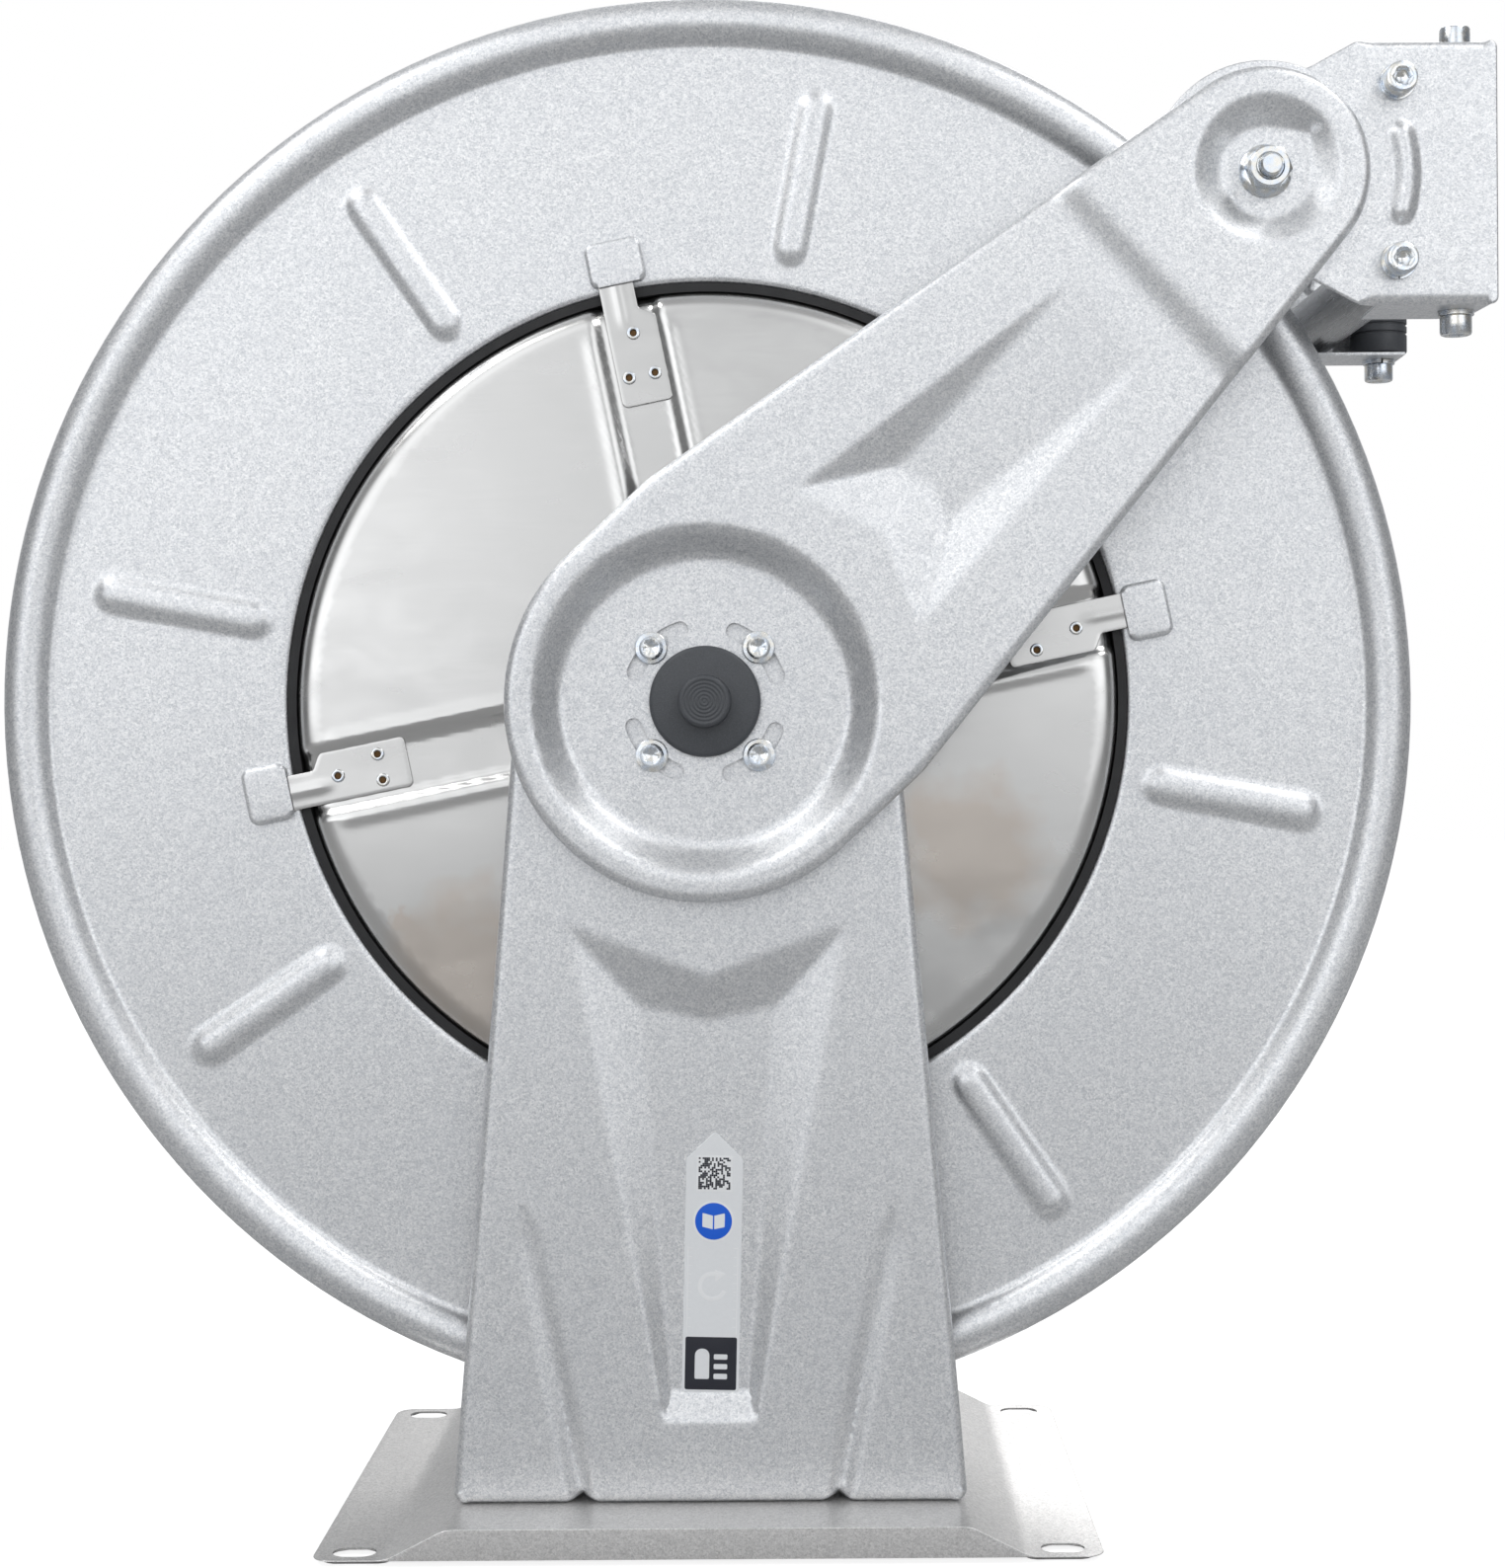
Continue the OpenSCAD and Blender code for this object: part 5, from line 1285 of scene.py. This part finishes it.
class REEL_OT_roller_screws(bpy.types.Operator):
    """Builds the eight socket screws and split washers of the rollers' axles"""

    bl_idname = "reel.roller_screws"
    bl_label = "Roller screws"

    def execute(self, context):
        head = mesh_of("head", *turned(socket_head_rings(6.5, 8.0, 6.0), 48))
        washer = mesh_of("washer", *split_washer(7.4, 4.1, 2.0))
        outwards = (0.0, math.pi / 2, 0.0)
        for name, mesh, lift, node in (("socket_head_screws", head, 2.0, "roller_screws"),
                                       ("split_washers", washer, 0.0, "roller_washers")):
            rings = []
            for rear in (False, True):
                centre = PIVOT + [LEVEL_SEAT[0], 0]
                rings.append(ring_of(mesh, 2, LEVEL_SEAT[1], math.pi / 2, BRACKET_FACE + lift, "zinc", centre, rear))
                centre = PIVOT + [SIDE_REACH, 0]
                rings.append(
                    ring_of(mesh, 2, BRACKET_HALF + lift, math.pi / 2, SIDE_FACE, "zinc", centre, rear, outwards))
            finished(joined(name, rings), "outlet", "zinc", node, angle=32)
        return {"FINISHED"}


# ---------------------------------------------------------------- label

LABEL_CENTRE = np.array([1.2, FOOT_Y + 92])
LABEL_TILT = math.radians(-1.5)


def level_face(x, y):
    return 0 * x


def ink(name, material, patches, lift):
    """One object of flat patches of ink that lie lift above the label's film."""
    meshes = []
    for loop, holes in patches:
        points, faces = pressed_sheet(loop, level_face, LABEL_FACE + lift, 0.1, 0.03, holes, step=5)
        meshes.append(mesh_of(name, facing_front(turned_by(points, LABEL_TILT, LABEL_CENTRE)), faces, merge=0.001))
    return finished(joined(name, meshes), "root", material, slot="label_film")


def arc_loop(centre, radius, half, start, end):
    """A band along an arc about centre, from start to end in degrees."""
    a = np.radians(np.linspace(start, end, 24))
    outer, inner = (r * np.column_stack([np.cos(a), np.sin(a)]) for r in (radius + half, radius - half))
    return np.array(centre) + np.concatenate([outer, inner[::-1]])


class REEL_OT_label(bpy.types.Operator):
    """Builds the printed label of the front upright, with plain signs and no lettering"""

    bl_idname = "reel.label"
    bl_label = "Label"

    def execute(self, context):
        half_x, half_y = 11.75, 48.0
        rim = outline([(-half_x, -half_y, 1), (half_x, -half_y, 1), (half_x, half_y, 1.5), (0, half_y + 11.5, 1.5),
                       (-half_x, half_y, 1.5)], 2.5)
        points, faces = pressed_sheet(rim, level_face, LABEL_FACE, 0.35, 0.15, step=5)
        points = turned_by(points, LABEL_TILT, LABEL_CENTRE)
        film = new_object("label_plate", mesh_of("label_plate", facing_front(points), faces))
        finished(film, "root", "label_film", "label")

        book = [outline([(-4.6, 20.2, 0.3), (-0.3, 19.2, 0.2), (-0.3, 24.8, 0.2), (-4.6, 25.9, 0.3)], 2),
                outline([(0.3, 19.2, 0.2), (4.6, 20.2, 0.3), (4.6, 25.9, 0.3), (0.3, 24.8, 0.2)], 2)]
        disc = circle(7.6, 0.9, (0, 22.5))
        ink("label_blue_disc", "label_blue", [(disc, book)], 0.05)
        ink("label_white_ring", "label_white", [(circle(8.5, 0.9, (0, 22.5)), [])], 0.025)
        scales = []
        for side in (-1, 1):
            scales.append((box_loop(side * 10.2 - 0.25, -24, side * 10.2 + 0.25, 12, 0.1), []))
            for v in np.arange(-21, 12, 3.6):
                scales.append((box_loop(side * 9.25 - 0.65, v - 0.2, side * 9.25 + 0.65, v + 0.2, 0.05), []))
        turn = (arc_loop((0, -4.3), 5.2, 0.85, 60, 340), [])
        tip = (outline([(1.2, -2.6, 0.1), (5.4, 0.9, 0.1), (0.9, 2.6, 0.1)], 1), [])
        panes = [outline([(-6.6, -42.5, 0.6), (-0.6, -42.5, 0.6), (-0.6, -30.0, 2.8), (-6.6, -30.0, 2.8)], 1.2)]
        for y, y_top in ((-42.5, -40.2), (-38.4, -36.2), (-34.4, -32.2)):
            panes.append(box_loop(1.2, y, 6.8, y_top, 0.5, 1.2))
        block = [(box_loop(-10.6, -46.9, 10.6, -25.2, 0.8), panes)]
        ink("label_dark_block", "label_dark", block, 0.05)
        ink("label_white_signs", "label_white", [*scales, turn], 0.05)
        ink("label_arrow_tip", "label_white", [tip], 0.075)
        frame_line = box_loop(-7.4, 34.8, 7.4, 49.6, 0.3)
        ink("label_white_square", "label_white", [(frame_line, [])], 0.025)

        dots = grown("Dotted square", None, {
            "Side": 12.4 * MM, "Dots": 17, "Share": 0.52, "Seed": 11, "Finish": finish_named("label_dark")})
        spot = turned_by([[0, 42.2, 0]], LABEL_TILT, LABEL_CENTRE)[0]
        place = Matrix.Translation(seat_at(spot[0], spot[1], LABEL_FACE + 0.07)) @ Matrix.Rotation(math.pi / 2, 4, "X")
        dots.transform(place @ Matrix.Rotation(LABEL_TILT, 4, "Z"))
        dots.update()
        finished(new_object("label_dotted_square", dots), "root", "label_dark", slot="label_film", angle=None)
        return {"FINISHED"}


# ---------------------------------------------------------------- fasteners and inlet


def hex_head_rings(across, height):
    side = hexagon(across)
    return [(0, 0), (side, 0), (side, chamfer(across, height, 0.6)), (across / 2 - 0.3, height), (0, height)]


class REEL_OT_fasteners(bpy.types.Operator):
    """Builds the foot's and the web's screws and nuts"""

    bl_idname = "reel.fasteners"
    bl_label = "Fasteners"

    def execute(self, context):
        flange_r = 8.75
        x, y = corners("foot_nuts")[1][:2] - flange_r
        nut = turned(nut_rings(13.0, flange_r, 8.0, 3.9), 72)
        screw = turned(hex_head_rings(13.0, 5.3)[:-1] + [(4.6, 5.3), (4.3, 5.0), (0, 5.0)], 72)
        shank = turned([(0, 0), (3.95, 0), (3.95, 15.6), (3.3, 16.3), (0, 16.3)], 32)
        top, below = BASE_TOP + SHEET, BASE_TOP - SHEET
        nuts, screws = [], []
        for sx in (-1, 1):
            for sy in (-1, 1):
                nuts.append(mesh_of("nut", nut[0] + [sx * x, sy * y, top], nut[1]))
                head = screw[0] * [1, 1, -1] + [sx * x, sy * y, below]
                screws.append(mesh_of("screw", head, screw[1], True))
                screws.append(mesh_of("shank", shank[0] + [sx * x, sy * y, below], shank[1]))
        finished(joined("foot_flange_nuts", nuts), "root", "zinc", "foot_nuts", angle=28)
        finished(joined("foot_hex_screws", screws), "root", "zinc", "foot_screws", angle=28)
        head = mesh_of("screw", *turned(flange_screw_rings(4.8, 6.8, 5.0), 48))
        web = ring_of(head, 6, WEB_SCREWS_R, math.radians(30), DISC_FACE + 0.02, "zinc", rear=True)
        nut = mesh_of("nut", *turned(nut_rings(10.0, 6.8, 6.0, 3.0), 48))
        inner = ring_of(nut, 6, WEB_SCREWS_R, math.radians(30), -corners("web_nuts")[1][1], "zinc")
        finished(joined("web_star_screws", [web]), "drum", "zinc", "web_screws", angle=30)
        finished(joined("web_flange_nuts", [inner]), "drum", "zinc", "web_nuts", angle=30)
        return {"FINISHED"}


# ---------------------------------------------------------------- the CAD nodes that stay


class REEL_OT_finishes(bpy.types.Operator):
    """Makes the finishes and the node trees, and gives each CAD node that stays the finish of its record"""

    bl_idname = "reel.finishes"
    bl_label = "Finishes"

    def execute(self, context):
        made = make_finishes()
        for part in frame["record"]["subparts"]:
            piece = frame["nodes"][part["node"]]
            piece.data.materials.clear()
            piece.data.materials.append(made[part["material_slot"]])
            for polygon in piece.data.polygons:
                polygon.material_index = 0
        for tree in (ring_tree, dot_tree, thread_tree):
            tree()
        return {"FINISHED"}


# ---------------------------------------------------------------- studio


def softbox(name, place, width, height, watts):
    """A rectangular light that faces the reel's middle."""
    light = bpy.data.lights.new(name, "AREA")
    light.shape, light.size, light.size_y = "RECTANGLE", width, height
    light.energy = watts
    piece = bpy.data.objects.new(name, light)
    bpy.context.scene.collection.objects.link(piece)
    piece.location = place
    piece.rotation_euler = (Vector((0, 0, 0.35)) - Vector(place)).to_track_quat("-Z", "Y").to_euler()


def white_floor():
    """A pale floor, which glows a little where it is looked at."""
    finish = Finish("floor_white", 0.9)
    finish.set(Base_Color=finish.mixed(finish.noise(80, 2), (0.42, 0.42, 0.42), (0.44, 0.44, 0.44)),
               Emission_Color=(1, 1, 1))
    camera_ray = finish.add("ShaderNodeLightPath").outputs["Is Camera Ray"]
    finish.set(Emission_Strength=finish.ranged(camera_ray, 0, 1, 0.0, 0.86))
    side, low = 6, -0.0005
    mesh = bpy.data.meshes.new("floor")
    corners = [(x * side, y * side, low) for x, y in ((-1, -1), (1, -1), (1, 1), (-1, 1))]
    mesh.from_pydata(corners, [], [(0, 1, 2, 3)])
    mesh.materials.append(finish.material)
    new_object("floor", mesh)


def studio_world():
    """White to look at; its light is dimmer ahead of the reel's middle and brighter at both sides and below."""
    made = bpy.data.worlds.new("Studio light")
    made.use_nodes = True
    world = Nodes(made.node_tree)
    world.tree.nodes.clear()
    place = world.add("ShaderNodeTexCoord").outputs["Generated"]
    x, y, z = world.add("ShaderNodeSeparateXYZ", {0: place}).outputs[:3]

    def band(value, start, end, amount):
        return world.ranged(value, start, end, 0.0, amount, interpolation_type="SMOOTHSTEP")

    def total(first, *others):
        for other in others:
            first = world.math("ADD", first, other)
        return first

    aside = world.math("SQRT", total(world.math("MULTIPLY", x, x), world.math("MULTIPLY", z, z)))
    middle = total(band(aside, 0.0, 0.27, 0.32), 0.57)
    sides = total(band(x, 0.02, -0.34, 0.86), band(x, 0.05, 0.26, 0.74))
    height = total(band(z, 0.02, -0.22, 0.52), band(z, 0.0, 0.28, -0.42))
    front = world.math("MULTIPLY", total(middle, sides, height), band(y, -0.45, -0.86, 1.0))
    others = total(band(z, 0.35, 0.95, 0.30), 0.20, band(y, 0.2, 0.9, 0.35))
    light = world.out("ShaderNodeBackground", {"Color": (0.965, 0.98, 1.0), "Strength": total(front, others)})
    white = world.out("ShaderNodeBackground", {"Color": (1.0, 1.0, 1.0)})
    camera_ray = world.add("ShaderNodeLightPath").outputs["Is Camera Ray"]
    seen = world.out("ShaderNodeMixShader", {0: camera_ray, 1: light, 2: white})
    world.add("ShaderNodeOutputWorld", {"Surface": seen})
    return made


class REEL_OT_studio(bpy.types.Operator):
    """Builds the white studio: world light, softboxes, floor and camera"""

    bl_idname = "reel.studio"
    bl_label = "Studio"

    def execute(self, context):
        scene = context.scene
        scene.view_settings.view_transform = "Standard"
        scene.world = studio_world()
        softbox("Top left softbox", (-1.15, -0.75, 1.9), 0.8, 0.6, 9)
        softbox("Top right softbox", (1.15, -0.75, 1.9), 0.7, 0.6, 7.5)
        softbox("Rear softbox", (0.4, 1.6, 1.3), 1.2, 0.9, 14)
        white_floor()
        camera = bpy.data.cameras.new("Camera")
        camera.lens, camera.sensor_width = 57.015, 36
        camera.shift_x, camera.shift_y = -0.02897, -0.0346
        piece = bpy.data.objects.new("Camera", camera)
        scene.collection.objects.link(piece)
        level = Matrix.Rotation(math.pi / 2, 4, "X") @ Matrix.Rotation(math.radians(-0.36), 4, "Z")
        piece.matrix_world = Matrix.Translation((0.0378, -1.096, 0.3312)) @ level
        scene.camera = piece
        return {"FINISHED"}


# ---------------------------------------------------------------- add-on

OPERATORS = (
    REEL_OT_studio, REEL_OT_finishes, REEL_OT_base_plate, REEL_OT_uprights, REEL_OT_discs, REEL_OT_case_cover,
    REEL_OT_case_clips, REEL_OT_arms, REEL_OT_tie_rod, REEL_OT_hub, REEL_OT_brackets, REEL_OT_rollers,
    REEL_OT_roller_screws, REEL_OT_label, REEL_OT_fasteners)


class REEL_PT_panel(bpy.types.Panel):
    """Sidebar panel with the reel's settings and pieces"""

    bl_idname = "REEL_PT_panel"
    bl_label = "Hose Reel"
    bl_space_type = "VIEW_3D"
    bl_region_type = "UI"
    bl_category = "Hose Reel"

    def draw(self, context):
        for title, group in (("Sizes", context.scene.reel_sizes), ("Finish", context.scene.reel_finish)):
            self.layout.label(text=title)
            for name in group.__annotations__:
                self.layout.prop(group, name)
        self.layout.separator()
        for operator in OPERATORS:
            self.layout.operator(operator.bl_idname)


CLASSES = (ReelSizes, ReelFinish, *OPERATORS, REEL_PT_panel)


def register():
    for made in CLASSES:
        bpy.utils.register_class(made)
    bpy.types.Scene.reel_sizes = PointerProperty(type=ReelSizes)
    bpy.types.Scene.reel_finish = PointerProperty(type=ReelFinish)


def unregister():
    del bpy.types.Scene.reel_finish
    del bpy.types.Scene.reel_sizes
    for made in reversed(CLASSES):
        bpy.utils.unregister_class(made)


def main():
    register()
    for operator in OPERATORS:
        area, name = operator.bl_idname.split(".")
        if getattr(getattr(bpy.ops, area), name)() != {"FINISHED"}:
            raise RuntimeError(operator.bl_label + " was not built")


if __name__ == "__main__":
    main()
